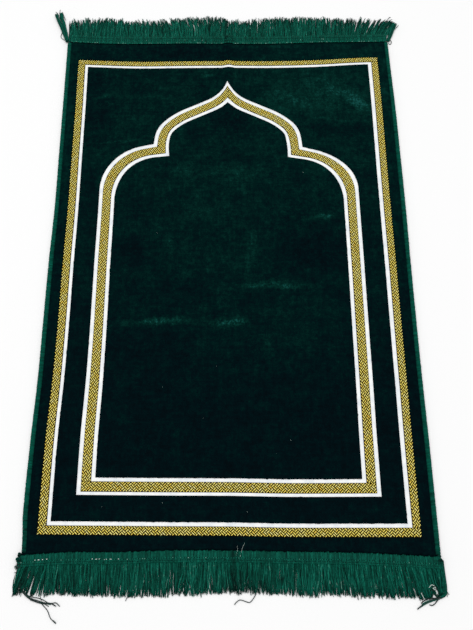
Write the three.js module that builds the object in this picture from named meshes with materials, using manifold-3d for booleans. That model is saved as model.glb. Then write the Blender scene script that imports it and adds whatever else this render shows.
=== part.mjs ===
// A prayer rug lying on a floor: a velour panel, yarn bindings overcast round its two long edges, a
// fringe sewn to each short end, and the yarn tails left at the four corners.
// Millimetres, +Z up, +Y towards the tip of the woven arch. The tables and the functions below use
// the body's own middle, half way between the bindings and between the fringe headings. The group
// then moves the whole rug so that the middle of its outline is at the origin, on the floor.

import * as THREE from "three";
import { mergeVertices } from "three/addons/utils/BufferGeometryUtils.js";
import Module from "manifold-3d";

// ---- driving dimensions -------------------------------------------------------------------------

const BODY_WIDTH = 701; // over both bindings
const VELOUR_LENGTH = 1070; // between the two fringe headings
const BORDER_WIDTH = 646.4; // over the gold braid of the woven border
const BORDER_LENGTH = 1000;
const BORDER_CENTRE = { x: -1.35, y: -10.5 }; // the border is woven a little off the middle
const PILE_HEIGHT = 4.5; // ground cloth and pile together
const PRESSED_HEIGHT = 2.2; // the panel's ends, flattened under the fringe headings
const CLEARANCE = 0.3; // between pieces that touch

const BINDING = {
  width: 8, // seen from above
  height: 5.4,
  wall: 2.2, // yarn outside the panel's edge
  lip: 0.9, // yarn under the panel's edge
  slot: 3.0, // room for the panel's edge
};
const FRINGE = {
  heading: 18.2, // the sewn tape
  hem: 13, // how far the panel reaches under the heading
  thickness: 2.5,
  strand: 70, // from the heading's inner edge to the tips
  teeth: 44,
  gap: 2,
  tipWidth: 0.8, // of the root width
  tipHeight: 1.1,
};
const CREASE_WIDTH = 16; // half width of a fold crease, as a soft ridge
const ORIGIN = { x: -8.8, y: -11.8 }; // the middle of the outline, fringes and tails included

// ---- how unevenly it lies -----------------------------------------------------------------------

// Sideways shift of each long line, from rows across the rug at y. Edges are the body's outline,
// borders the outer edge of the woven border.
const SIDE_SHIFT = {
  stations: [
    -BODY_WIDTH / 2,
    BORDER_CENTRE.x - BORDER_WIDTH / 2,
    BORDER_CENTRE.x + BORDER_WIDTH / 2,
    BODY_WIDTH / 2,
  ],
  rows: [
    { at: -560, leftEdge: 0.5, leftBorder: -0.5, rightBorder: 2.0, rightEdge: 2.2 },
    { at: -470, leftEdge: -1.4, leftBorder: -1.2, rightBorder: 1.3, rightEdge: 1.7 },
    { at: -340, leftEdge: -0.8, leftBorder: -1.3, rightBorder: 0.3, rightEdge: 1.0 },
    { at: -240, leftEdge: 1.2, leftBorder: 1.2, rightBorder: 0.1, rightEdge: -0.2 },
    { at: -140, leftEdge: 0.8, leftBorder: 1.7, rightBorder: -0.2, rightEdge: -0.7 },
    { at: 0, leftEdge: 0.1, leftBorder: 0.6, rightBorder: -0.3, rightEdge: -0.6 },
    { at: 120, leftEdge: 1.1, leftBorder: 0.6, rightBorder: -0.9, rightEdge: 0.2 },
    { at: 240, leftEdge: -0.6, leftBorder: -1.0, rightBorder: -1.0, rightEdge: -0.4 },
    { at: 360, leftEdge: -2.5, leftBorder: -2.5, rightBorder: -0.6, rightEdge: -1.2 },
    { at: 460, leftEdge: -4.1, leftBorder: -4.5, rightBorder: -1.2, rightEdge: -3.5 },
    { at: 550, leftEdge: -6.0, leftBorder: -5.5, rightBorder: -2.0, rightEdge: -5.0 },
  ],
};
// Lengthways shift of each line across, from columns along the rug at x. Heads are the inner edges
// of the fringe headings.
const END_SHIFT = {
  stations: [
    -VELOUR_LENGTH / 2,
    BORDER_CENTRE.y - BORDER_LENGTH / 2,
    BORDER_CENTRE.y + BORDER_LENGTH / 2,
    VELOUR_LENGTH / 2,
  ],
  rows: [
    { at: -350, nearHead: -5.5, nearBorder: 3.4, farBorder: 4.5, farHead: 5.5 },
    { at: -270, nearHead: -1.0, nearBorder: 2.6, farBorder: 0.2, farHead: 0.4 },
    { at: -190, nearHead: -0.9, nearBorder: 1.9, farBorder: -2.6, farHead: -0.9 },
    { at: -100, nearHead: 1.6, nearBorder: 0.9, farBorder: -1.6, farHead: 0.0 },
    { at: 0, nearHead: 1.4, nearBorder: 0.1, farBorder: -1.2, farHead: -1.0 },
    { at: 100, nearHead: -0.9, nearBorder: -2.0, farBorder: -1.6, farHead: -1.0 },
    { at: 200, nearHead: -2.6, nearBorder: -2.4, farBorder: 1.6, farHead: 2.4 },
    { at: 260, nearHead: -5.0, nearBorder: -2.6, farBorder: 5.8, farHead: 3.0 },
    { at: 350, nearHead: -10.0, nearBorder: -2.8, farBorder: 9.5, farHead: 4.5 },
  ],
};
// The fold along the rug's length: the height of its ridge at each y.
const LONG_CREASE = {
  x: 0,
  rows: [
    { at: -560, height: 0.8 },
    { at: -300, height: 0.4 },
    { at: 0, height: 0.5 },
    { at: 300, height: 1.2 },
    { at: 480, height: 3.4 },
    { at: 560, height: 4.4 },
  ],
};
// The folds across it: soft ridges between two sides.
const CROSS_CREASES = [
  { y: 264, from: -300, to: 340, height: 1.2 },
  { y: -4, from: -350, to: 350, height: 1.6 },
  { y: -138, from: -200, to: 120, height: 0.8 },
];
const FRINGES = {
  // Where the tips end, further or shorter than the strand length, and how far they lean outwards.
  fringe_top: {
    end: 1,
    lean: 8,
    parting: -30,
    rows: [
      { at: -350, tip: -12 },
      { at: -320, tip: -2 },
      { at: -270, tip: 2 },
      { at: -205, tip: -4 },
      { at: -130, tip: -1 },
      { at: -30, tip: 8 },
      { at: 10, tip: -3 },
      { at: 100, tip: 4 },
      { at: 230, tip: 0 },
      { at: 300, tip: -5 },
      { at: 350, tip: -10 },
    ],
  },
  fringe_bottom: {
    end: -1,
    lean: 6,
    parting: 9,
    rows: [
      { at: -350, tip: -14 },
      { at: -320, tip: -6 },
      { at: -260, tip: -2 },
      { at: -100, tip: 1 },
      { at: 50, tip: -3 },
      { at: 200, tip: -1 },
      { at: 290, tip: -2 },
      { at: 320, tip: -6 },
      { at: 350, tip: -16 },
    ],
  },
};
// The yarn tails: the side each leaves (across, along), its route from the corner outwards, in
// millimetres away from the corner, and its radius on the way.
const TAILS = {
  tail_top_left: {
    corner: { across: -1, along: 1 },
    bundle: [
      { out: 2.6, on: 4, z: 3.0, radius: 2.4 },
      { out: 10, on: 24, z: 2.9, radius: 2.7 },
      { out: 19, on: 50, z: 3.4, radius: 3.2 },
      { out: 27, on: 70, z: 3.9, radius: 3.7 },
      { out: 31.5, on: 83, z: 3.4, radius: 3.2 },
    ],
  },
  tail_top_right: {
    corner: { across: 1, along: 1 },
    bundle: [
      { out: 2.2, on: 4, z: 2.8, radius: 2.2 },
      { out: 9, on: 18, z: 2.8, radius: 2.6 },
      { out: 17, on: 38, z: 3.2, radius: 3.0 },
      { out: 25, on: 57, z: 2.8, radius: 2.6 },
    ],
  },
  tail_bottom_left: {
    corner: { across: -1, along: -1 },
    bundle: [
      { out: 3.7, on: 3, z: 3.6, radius: 3.4 },
      { out: 3.3, on: 12, z: 3.2, radius: 3.0 },
      { out: 6.6, on: 30, z: 1.7, radius: 1.6 },
      { out: 9.6, on: 50, z: 1.6, radius: 1.5 },
      { out: 4, on: 63, z: 1.6, radius: 1.5 },
      { out: -14, on: 70, z: 1.8, radius: 1.7 },
      { out: -40, on: 78, z: 2.1, radius: 2.0 },
      { out: -70, on: 82, z: 1.8, radius: 1.7 },
    ],
    thread: [
      { out: -40, on: 78, z: 1.0, radius: 0.8 },
      { out: -50, on: 86, z: 0.9, radius: 0.8 },
      { out: -57, on: 98, z: 0.9, radius: 0.8 },
      { out: -67, on: 107, z: 0.9, radius: 0.8 },
    ],
  },
  tail_bottom_right: {
    corner: { across: 1, along: -1 },
    bundle: [
      { out: 3.1, on: 3, z: 3.0, radius: 2.8 },
      { out: 2.8, on: 11, z: 2.8, radius: 2.4 },
      { out: 6.4, on: 30, z: 1.6, radius: 1.5 },
      { out: 10, on: 48, z: 1.5, radius: 1.4 },
      { out: 6, on: 62, z: 1.5, radius: 1.4 },
      { out: -12, on: 70, z: 1.6, radius: 1.5 },
      { out: -30, on: 77, z: 1.8, radius: 1.7 },
      { out: -46, on: 82, z: 1.5, radius: 1.4 },
    ],
  },
};

const VELOUR_GREEN = 0x02211d;
const BINDING_GREEN = 0x0b4f3e;
const FRINGE_GREEN = 0x0a4a3a;
const TAIL_GREEN = 0x0b3a30;

// ---- the lie of the cloth -----------------------------------------------------------------------

// A smooth reading of a table: every column but "at", at any place along it.
function tableReader(rows) {
  const columns = Object.keys(rows[0]).filter((name) => name !== "at");
  const places = rows.map((row) => row.at);
  const values = rows.flatMap((row) => columns.map((name) => row[name]));
  const curve = new THREE.CubicInterpolant(places, values, columns.length);
  return (place) => {
    const inside = THREE.MathUtils.clamp(place, places[0], places[places.length - 1]);
    return Array.from(curve.evaluate(inside));
  };
}

// The value at a place between stations, held level beyond the first and the last.
function between(stations, values, place) {
  if (place <= stations[0]) return values[0];
  for (let i = 1; i < stations.length; i++) {
    if (place > stations[i]) continue;
    const part = (place - stations[i - 1]) / (stations[i] - stations[i - 1]);
    return THREE.MathUtils.lerp(values[i - 1], values[i], part);
  }
  return values[values.length - 1];
}

const sideShiftAt = tableReader(SIDE_SHIFT.rows);
const endShiftAt = tableReader(END_SHIFT.rows);
const longCreaseAt = tableReader(LONG_CREASE.rows);

// A ridge's share of its height, at a distance from its line: a cosine that ends flat.
function ridge(distance, halfWidth) {
  return Math.abs(distance) < halfWidth ? 0.5 + 0.5 * Math.cos((Math.PI * distance) / halfWidth) : 0;
}

// How far the cloth stands off the floor.
function lift(x, y) {
  const long = longCreaseAt(y)[0] * ridge(x - LONG_CREASE.x, CREASE_WIDTH);
  const cross = CROSS_CREASES.map(({ y: line, from, to, height }) => {
    const middle = (from + to) / 2;
    return height * ridge(y - line, CREASE_WIDTH) * ridge(x - middle, (to - from) / 2);
  });
  return Math.max(long, ...cross);
}

// Where a point of the flat, square rug lies on the floor.
function laid(x, y) {
  return {
    x: x + between(SIDE_SHIFT.stations, sideShiftAt(y), x),
    y: y + between(END_SHIFT.stations, endShiftAt(x), y),
    lift: lift(x, y),
  };
}

// ---- builders -----------------------------------------------------------------------------------

// A closed geometry from its vertices and the corners of its triangles.
function closedGeometry(vertices, triangles) {
  const geometry = new THREE.BufferGeometry();
  geometry.setAttribute("position", new THREE.Float32BufferAttribute(vertices.flat(), 3));
  geometry.setIndex(triangles.flat());
  geometry.computeVertexNormals();
  return geometry;
}

// Cloth on a grid of cells: a top, an underside and a wall round every edge. point(i, j) gives a
// grid corner as { x, y, low, high }, and isCloth(i, j) says which cells are there.
function clothGeometry(columns, rows, isCloth, point) {
  const vertices = [];
  const triangles = [];
  const made = new Map();
  const corner = (i, j) => {
    const key = i * (rows + 1) + j;
    if (!made.has(key)) {
      const { x, y, low, high } = point(i, j);
      made.set(key, { low: vertices.push([x, y, low]) - 1, high: vertices.push([x, y, high]) - 1 });
    }
    return made.get(key);
  };
  const cloth = (i, j) => i >= 0 && j >= 0 && i < columns && j < rows && isCloth(i, j);
  const wall = (a, b) => triangles.push([a.low, b.low, b.high], [a.low, b.high, a.high]);
  for (let i = 0; i < columns; i++)
    for (let j = 0; j < rows; j++) {
      if (!cloth(i, j)) continue;
      const [a, b, c, d] = [corner(i, j), corner(i + 1, j), corner(i + 1, j + 1), corner(i, j + 1)];
      triangles.push([a.high, b.high, c.high], [a.high, c.high, d.high]);
      triangles.push([a.low, c.low, b.low], [a.low, d.low, c.low]);
      if (!cloth(i, j - 1)) wall(a, b);
      if (!cloth(i + 1, j)) wall(b, c);
      if (!cloth(i, j + 1)) wall(c, d);
      if (!cloth(i - 1, j)) wall(d, a);
    }
  return closedGeometry(vertices, triangles);
}

// Rings of points joined into a closed tube, its ends filled with the first ring's triangles.
function ringsGeometry(rings, endTriangles) {
  const sides = rings[0].length;
  const triangles = [];
  for (let r = 0; r + 1 < rings.length; r++)
    for (let s = 0; s < sides; s++) {
      const a = r * sides + s;
      const b = r * sides + ((s + 1) % sides);
      triangles.push([a, b, b + sides], [a, b + sides, a + sides]);
    }
  const last = (rings.length - 1) * sides;
  for (const [a, b, c] of endTriangles) {
    triangles.push([a, c, b], [last + a, last + b, last + c]);
  }
  return closedGeometry(rings.flat(), triangles);
}

function mirrored(values) {
  return [...values, ...values.map((value) => -value)].sort((a, b) => a - b);
}

// ---- sub-parts ----------------------------------------------------------------------------------

function velourPanel() {
  const half = BODY_WIDTH / 2;
  const head = VELOUR_LENGTH / 2;
  const tongueEnd = BINDING.wall + CLEARANCE;
  const tongueRoot = BINDING.width + CLEARANCE + 0.1;
  const pileStart = BINDING.width + 2;
  const pressStart = head - 2;
  const pressEnd = head - 0.4;
  const acrossCrease = [-1, -0.5, 0, 0.5, 1].map((part) => part * CREASE_WIDTH);
  const columnAt = [
    ...mirrored([half - tongueEnd, half - tongueRoot, half - pileStart, 320, 260, 190, 120, 60]),
    ...acrossCrease.map((aside) => LONG_CREASE.x + aside),
  ].sort((a, b) => a - b);
  const rowAt = [
    ...mirrored([head + FRINGE.hem, pressEnd, pressStart, 500, 450, 390, 330]),
    ...[210, 160, 110, 60, -75, -190, -240],
    ...CROSS_CREASES.flatMap(({ y }) => acrossCrease.map((along) => y + along)),
  ].sort((a, b) => a - b);
  const point = (i, j) => {
    const x = columnAt[i];
    const y = rowAt[j];
    const place = laid(x, y);
    const pressed = Math.abs(y) >= pressEnd;
    const tongue = Math.abs(x) >= half - tongueRoot;
    const low = tongue && !pressed ? BINDING.lip + CLEARANCE : 0;
    const bound = tongue ? BINDING.lip + BINDING.slot - CLEARANCE : PILE_HEIGHT;
    const high = pressed ? PRESSED_HEIGHT : bound;
    return { x: place.x, y: place.y, low: low + place.lift, high: high + place.lift };
  };
  return clothGeometry(columnAt.length - 1, rowAt.length - 1, () => true, point);
}

// Overcast yarn round one long edge: a C that takes the panel's edge in its slot.
function sideBinding(side) {
  const { width, height, wall, lip, slot } = BINDING;
  const section = [
    { inset: 0.7, z: 0 },
    { inset: width, z: 0 },
    { inset: width, z: lip },
    { inset: wall, z: lip },
    { inset: wall, z: lip + slot },
    { inset: width, z: lip + slot },
    { inset: width, z: height - 0.9 },
    { inset: width * 0.75, z: height },
    { inset: width * 0.42, z: height },
    { inset: width * 0.14, z: height - 1 },
    { inset: 0, z: height / 2 },
  ];
  const contour = section.map(({ inset, z }) => new THREE.Vector2(side * -inset, z));
  const outline = side < 0 ? contour.map((_, s) => s) : contour.map((_, s) => contour.length - 1 - s);
  const ordered = outline.map((s) => contour[s]);
  const end = VELOUR_LENGTH / 2 - 2 - CLEARANCE;
  const steps = 32;
  const stations = Array.from({ length: steps + 1 }, (_, step) => end - (2 * end * step) / steps);
  const rings = stations.map((y) =>
    ordered.map((spot) => {
      const place = laid((side * BODY_WIDTH) / 2 + spot.x, y);
      return [place.x, place.y, spot.y + place.lift];
    }),
  );
  return ringsGeometry(rings, THREE.ShapeUtils.triangulateShape(ordered, []));
}

// A fringe: its heading tape on the pressed end of the panel, and strands that fall to the floor.
function fringe({ end, lean, parting, rows }) {
  const half = BODY_WIDTH / 2;
  const head = VELOUR_LENGTH / 2;
  const tipAt = tableReader(rows);
  const pitch = BODY_WIDTH / FRINGE.teeth;
  const partingTooth = Math.round((parting + half) / pitch);
  const low = PRESSED_HEIGHT + CLEARANCE;
  const profile = [
    { on: 0, low, high: low + FRINGE.thickness },
    { on: FRINGE.hem + 1.5, low, high: low + FRINGE.thickness },
    { on: FRINGE.heading, low: 1.6, high: low + FRINGE.thickness * 0.9 },
    { on: FRINGE.heading + 12, low: 0, high: 3.6 },
    { on: FRINGE.heading + 32, low: 0, high: 2.4 },
    { on: FRINGE.strand, low: 0, high: FRINGE.tipHeight },
  ];
  const headingRows = 2;
  const point = (i, j) => {
    const tooth = Math.floor(i / 2);
    const left = i % 2 === 0;
    const extra = tooth === partingTooth ? FRINGE.gap : 0;
    const start = tooth === 0 ? 0 : FRINGE.gap / 2 + extra;
    const stop = tooth === FRINGE.teeth - 1 ? pitch : pitch - FRINGE.gap / 2;
    const rootX = -half + tooth * pitch + (left ? start : stop);
    const { on, low: under, high } = profile[j];
    const down = Math.max(0, (on - FRINGE.heading) / (FRINGE.strand - FRINGE.heading));
    const middle = -half + (tooth + 0.5) * pitch;
    const uneven = 2.5 * Math.sin(tooth * 2.4) * down;
    const reach = on + (tipAt(middle)[0] + uneven) * down;
    const narrow = 1 - (1 - FRINGE.tipWidth) * down * down;
    const x = middle + (rootX - middle) * narrow + (lean * down * middle) / half;
    const y = end * (head + reach);
    const place = laid(x, y);
    const raised = (1 - down) * Math.max(...[-FRINGE.gap, 0, FRINGE.gap].map((aside) => lift(x + aside, y)));
    return { x: place.x, y: place.y, low: under + raised, high: high + raised };
  };
  const columns = 2 * FRINGE.teeth - 1;
  const isCloth = (i, j) => j < headingRows || i % 2 === 0;
  const turned = end > 0 ? point : (i, j) => point(columns - i, j);
  return clothGeometry(columns, profile.length - 1, isCloth, turned);
}

// One yarn bundle or thread: a round bar that follows its route at its own radius.
function yarn(route, place) {
  const sides = 8;
  const steps = 3 * (route.length - 1);
  const spine = new THREE.CatmullRomCurve3(route.map(place));
  const radiusAt = tableReader(route.map(({ radius }, i) => ({ at: i / (route.length - 1), radius })));
  const rings = Array.from({ length: steps + 1 }, (_, step) => {
    const t = step / steps;
    const centre = spine.getPoint(t);
    const ahead = spine.getTangent(t);
    const across = new THREE.Vector3(0, 0, 1).cross(ahead).normalize();
    const up = ahead.clone().cross(across);
    return Array.from({ length: sides }, (_, s) => {
      const angle = (2 * Math.PI * (s + 0.5)) / sides;
      const offset = across
        .clone()
        .multiplyScalar(Math.cos(angle))
        .addScaledVector(up, Math.sin(angle));
      return centre.clone().addScaledVector(offset, radiusAt(t)[0]).toArray();
    });
  });
  const fan = Array.from({ length: sides - 2 }, (_, s) => [0, s + 1, s + 2]);
  return ringsGeometry(rings, fan);
}

const wasm = await Module();
wasm.setup();

function solidOf(geometry) {
  const bare = geometry.clone();
  bare.deleteAttribute("normal");
  const merged = mergeVertices(bare);
  return new wasm.Manifold(
    new wasm.Mesh({
      numProp: 3,
      vertProperties: merged.attributes.position.array,
      triVerts: new Uint32Array(merged.index.array),
    }),
  );
}

function geometryOf(solid) {
  const mesh = solid.getMesh();
  const geometry = new THREE.BufferGeometry();
  geometry.setAttribute("position", new THREE.BufferAttribute(mesh.vertProperties, 3));
  geometry.setIndex(new THREE.BufferAttribute(mesh.triVerts, 1));
  geometry.computeVertexNormals();
  return geometry;
}

// A corner's yarn tail: its bundle, and the single thread that leaves some of them.
function yarnTail({ corner, bundle, thread }) {
  const place = ({ out, on, z }) => {
    const root = laid((corner.across * BODY_WIDTH) / 2, (corner.along * VELOUR_LENGTH) / 2);
    return new THREE.Vector3(root.x + corner.across * out, root.y + corner.along * on, z);
  };
  const main = yarn(bundle, place);
  return thread ? geometryOf(solidOf(main).add(solidOf(yarn(thread, place)))) : main;
}

// ---- the rug ------------------------------------------------------------------------------------

function mesh(name, geometry, color, roughness) {
  const made = new THREE.Mesh(geometry, new THREE.MeshStandardMaterial({ color, roughness, metalness: 0 }));
  made.name = name;
  return made;
}

const rug = new THREE.Group();
rug.add(mesh("velour_panel", velourPanel(), VELOUR_GREEN, 0.95));
rug.add(mesh("binding_left", sideBinding(-1), BINDING_GREEN, 0.8));
rug.add(mesh("binding_right", sideBinding(1), BINDING_GREEN, 0.8));
for (const [name, trim] of Object.entries(FRINGES)) rug.add(mesh(name, fringe(trim), FRINGE_GREEN, 0.6));
for (const [name, tail] of Object.entries(TAILS)) rug.add(mesh(name, yarnTail(tail), TAIL_GREEN, 0.7));

rug.position.set(-ORIGIN.x, -ORIGIN.y, 0);

export default rug;
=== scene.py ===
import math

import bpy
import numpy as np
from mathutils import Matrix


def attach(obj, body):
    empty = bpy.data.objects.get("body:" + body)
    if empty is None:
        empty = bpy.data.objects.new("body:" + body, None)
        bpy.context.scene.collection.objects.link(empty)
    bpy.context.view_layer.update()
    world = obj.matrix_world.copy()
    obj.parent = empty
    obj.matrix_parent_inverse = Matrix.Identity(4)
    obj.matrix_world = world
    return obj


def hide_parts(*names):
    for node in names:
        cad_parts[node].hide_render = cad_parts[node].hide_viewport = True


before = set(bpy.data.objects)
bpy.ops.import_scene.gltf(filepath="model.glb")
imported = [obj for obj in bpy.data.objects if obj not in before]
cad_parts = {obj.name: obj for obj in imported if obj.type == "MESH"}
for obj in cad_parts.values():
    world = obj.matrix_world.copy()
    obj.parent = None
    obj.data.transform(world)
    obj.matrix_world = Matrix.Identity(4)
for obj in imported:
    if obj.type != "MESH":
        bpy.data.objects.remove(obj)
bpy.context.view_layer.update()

# The looks of a prayer rug lying on a floor: cut pile with woven gold and white bands, overcast
# edges, sewn fringes and loose yarn tails. Lengths are in millimetres on the flat, square rug, whose
# middle is half way between its bindings and between its fringe headings. lay() puts a point where
# it lies on the floor, in metres in the CAD frame.

MM = 0.001

# ---- sizes, as in the CAD source ----

BODY_WIDTH = 701.0
HALF = BODY_WIDTH / 2
HEAD = 535.0  # from the middle to each fringe heading
BORDER_CENTRE = (-1.05, -11.05)
BORDER_HALF = (323.8, 500.35)  # from there to its outer edges
MIHRAB_CENTRE = (-1.35, -10.5)
PILE_HEIGHT = 4.5
PRESSED_HEIGHT = 2.2  # of the cloth under a heading
BAND_DEPTH = 1.8  # the woven bands lie this far below the pile's tips
BINDING = {"width": 8.0, "height": 5.4, "wall": 2.2, "lip": 0.9, "slot": 3.0}
CLEARANCE = 0.3
FRINGE = {"heading": 18.2, "hem": 13.0, "strand": 70.0}
CREASE_WIDTH = 16.0  # to each side
ORIGIN = (-8.8, -11.8)  # the frame's origin on the flat rug


class Table:
    """Rows with named columns, read smoothly at any place along the first column."""

    def __init__(self, columns, *rows):
        self.columns = columns.split()
        self.rows = np.array(rows, float)

    def read(self, place):
        """The other columns at each place: a cubic through the rows, held level beyond the ends."""
        at, values = self.rows[:, 0], self.rows[:, 1:]
        place = np.clip(np.asarray(place, float), at[0], at[-1])
        high = np.clip(np.searchsorted(at, place, side="right"), 1, len(at) - 1)
        low = high - 1
        before = np.where(low > 0, low - 1, high)
        after = np.where(high < len(at) - 1, high + 1, low)
        span = at[high] - at[low]
        w0 = 0.5 * span / (at[low] - at[before])
        w1 = 0.5 * span / (at[after] - at[high])
        p = (place - at[low]) / span
        mix = (
            (before, -w0 * p**3 + 2 * w0 * p**2 - w0 * p),
            (low, (1 + w0) * p**3 - (1.5 + 2 * w0) * p**2 + (w0 - 0.5) * p + 1),
            (high, -(1 + w1) * p**3 + (1.5 + w1) * p**2 + 0.5 * p),
            (after, w1 * p**3 - w1 * p**2),
        )
        return sum(share[:, None] * values[row] for row, share in mix)

    def column(self, name, place):
        return self.read(place)[:, self.columns.index(name) - 1]


# How far the edges of the cloth and of its border lie from square, to the right and to the far end,
# and the lines on the flat rug where that is measured.
SIDE_STATIONS = np.array([-HALF, BORDER_CENTRE[0] - 323.2, BORDER_CENTRE[0] + 323.2, HALF])
SIDE_SHIFT = Table(
    "at left_edge left_border right_border right_edge",
    (-560, 0.5, -0.5, 2, 2.2), (-470, -1.4, -1.2, 1.3, 1.7), (-340, -0.8, -1.3, 0.3, 1),
    (-240, 1.2, 1.2, 0.1, -0.2), (-140, 0.8, 1.7, -0.2, -0.7), (0, 0.1, 0.6, -0.3, -0.6),
    (120, 1.1, 0.6, -0.9, 0.2), (240, -0.6, -1, -1, -0.4), (360, -2.5, -2.5, -0.6, -1.2),
    (460, -4.1, -4.5, -1.2, -3.5), (550, -6, -5.5, -2, -5),
)
END_STATIONS = np.array([-HEAD, BORDER_CENTRE[1] - 500, BORDER_CENTRE[1] + 500, HEAD])
END_SHIFT = Table(
    "at near_head near_border far_border far_head",
    (-350, -5.5, 3.4, 4.5, 5.5), (-270, -1, 2.6, 0.2, 0.4), (-190, -0.9, 1.9, -2.6, -0.9),
    (-100, 1.6, 0.9, -1.6, 0), (0, 1.4, 0.1, -1.2, -1), (100, -0.9, -2, -1.6, -1),
    (200, -2.6, -2.4, 1.6, 2.4), (260, -5, -2.6, 5.8, 3), (350, -10, -2.8, 9.5, 4.5),
)
LONG_CREASE = Table("at height", (-560, 0.8), (-300, 0.4), (0, 0.5), (300, 1.2), (480, 3.4), (560, 4.4))
CROSS_CREASES = Table(
    "y start stop height", (264, -300, 340, 1.2), (-4, -350, 350, 1.6), (-138, -200, 120, 0.8)
)


def station_mix(stations, values, place):
    """Straight between stations, with a column of values for each, and level beyond them."""
    share = np.clip((place[:, None] - stations[:-1]) / np.diff(stations), 0, 1)
    return values[:, 0] + (share * np.diff(values, axis=1)).sum(1)


def ridge(distance, half_width):
    """A ridge's share of its height: a cosine that ends flat."""
    return 0.5 + 0.5 * np.cos(np.pi * np.clip(np.abs(distance) / half_width, 0, 1))


def lift(x, y):
    """How far the cloth stands off the floor."""
    high = LONG_CREASE.read(y)[:, 0] * ridge(x, CREASE_WIDTH)
    for at, start, stop, height in CROSS_CREASES.rows:
        long = ridge(x - (start + stop) / 2, (stop - start) / 2)
        high = np.maximum(high, height * ridge(y - at, CREASE_WIDTH) * long)
    return high


def lay(points, raised=1.0):
    """Points of the flat rug, z over its underside, where they lie, in metres in the CAD frame."""
    points = np.asarray(points, float)
    x, y, z = points.reshape(-1, 3).T
    across = x + station_mix(SIDE_STATIONS, SIDE_SHIFT.read(y), x) - ORIGIN[0]
    along = y + station_mix(END_STATIONS, END_SHIFT.read(x), y) - ORIGIN[1]
    laid = np.stack([across, along, z + lift(x, y) * np.ravel(raised)], axis=1)
    return (laid * MM).reshape(points.shape)


# ---- meshes ----


class Piece:
    """Collects points and faces, and makes one mesh object of them."""

    def __init__(self, name, *materials):
        self.name, self.materials = name, materials
        self.points, self.faces, self.slots, self.shades, self.count = [], [], [], [], 0

    def add(self, points, faces, slot=0, shade=0.5):
        """points in metres, faces a list of index arrays, slot a material index for all or each."""
        points = np.asarray(points, float).reshape(-1, 3)
        self.points.append(points)
        self.shades.append(np.broadcast_to(shade, len(points)))
        for block, its_slot in zip(faces, np.broadcast_to(slot, len(faces))):
            self.faces.append(np.asarray(block) + self.count)
            self.slots.append(np.full(len(block), its_slot))
        self.count += len(points)

    def make(self, slot_name, *nodes):
        """The mesh object, on the rug's one body, in place of these CAD nodes."""
        mesh = bpy.data.meshes.new(self.name)
        sizes = np.concatenate([np.full(len(f), f.shape[1]) for f in self.faces])
        mesh.vertices.add(self.count)
        mesh.loops.add(int(sizes.sum()))
        mesh.polygons.add(len(sizes))
        corners = np.concatenate([f.ravel() for f in self.faces])
        for target, what, values, kind in (
            (mesh.vertices, "co", np.concatenate(self.points), np.float32),
            (mesh.loops, "vertex_index", corners, np.int32),
            (mesh.polygons, "loop_start", np.cumsum(sizes) - sizes, np.int32),
            (mesh.polygons, "material_index", np.concatenate(self.slots), np.int32),
            (mesh.polygons, "use_smooth", np.ones(len(sizes)), bool),
        ):
            target.foreach_set(what, values.astype(kind).ravel())
        mesh.update(calc_edges=True)
        shade = mesh.attributes.new("shade", "FLOAT", "POINT")
        shade.data.foreach_set("value", np.concatenate(self.shades).astype(np.float32))
        for material in self.materials:
            mesh.materials.append(material)
        made = place_object(self.name, mesh)
        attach(made, "root")
        if nodes:
            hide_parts(*nodes)
        return made


def place_object(name, data):
    made = bpy.data.objects.new(name, data)
    bpy.context.scene.collection.objects.link(made)
    return made


def tube_faces(steps, sides, turned=False):
    """Quads and end triangles of a tube of rings, which turned have the other side out."""
    a = np.arange(steps - 1)[:, None] * sides + np.arange(sides)
    b = np.roll(a, -1, axis=1)
    wall = np.stack([a, b, b + sides, a + sides], axis=2).reshape(-1, 4)
    fan = np.array([[0, s + 1, s + 2] for s in range(sides - 2)])
    caps = np.concatenate([fan[:, ::-1], fan + (steps - 1) * sides])
    return (wall[:, [0, 3, 2, 1]], caps[:, ::-1]) if turned else (wall, caps)


def tubes(lines, radii, sides, flat=1.0):
    """Closed tubes along lines (tubes, steps, 3) with radii (tubes, steps): points and faces."""
    count, steps = lines.shape[:2]
    ahead = np.gradient(lines, axis=1)
    ahead /= np.linalg.norm(ahead, axis=2, keepdims=True) + 1e-12
    across = np.cross([0.0, 0.0, 1.0], ahead)
    steep = np.linalg.norm(across, axis=2, keepdims=True) < 0.05
    across = np.where(steep, [1.0, 0.0, 0.0], across)
    across /= np.linalg.norm(across, axis=2, keepdims=True)
    up = np.cross(ahead, across)
    angle = 2 * np.pi * (np.arange(sides) + 0.5) / sides
    ring = np.cos(angle)[:, None] * across[:, :, None] + flat * np.sin(angle)[:, None] * up[:, :, None]
    points = lines[:, :, None] + np.broadcast_to(radii, (count, steps))[:, :, None, None] * ring
    first = np.arange(count)[:, None, None] * steps * sides
    return points, [(part + first).reshape(-1, part.shape[1]) for part in tube_faces(steps, sides)]


def spline(points, steps):
    """A smooth curve through points, with steps points spread evenly over its knots."""
    points = np.asarray(points, float)
    padded = np.concatenate([[2 * points[0] - points[1]], points, [2 * points[-1] - points[-2]]])
    t = np.linspace(0, len(points) - 1, steps)
    k = np.minimum(t.astype(int), len(points) - 2)
    f = (t - k)[:, None]
    p0, p1, p2, p3 = (padded[k + i] for i in range(4))
    square, cube = 2 * p0 - 5 * p1 + 4 * p2 - p3, 3 * p1 - p0 - 3 * p2 + p3
    return 0.5 * (2 * p1 + (p2 - p0) * f + square * f**2 + cube * f**3)


# ---- materials ----


def srgb(red, green, blue):
    """A colour named by its 0 to 255 screen values, as the linear one that shaders take."""
    shares = (red / 255, green / 255, blue / 255)
    return (*(c / 12.92 if c <= 0.04045 else ((c + 0.055) / 1.055) ** 2.4 for c in shares), 1.0)


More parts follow.
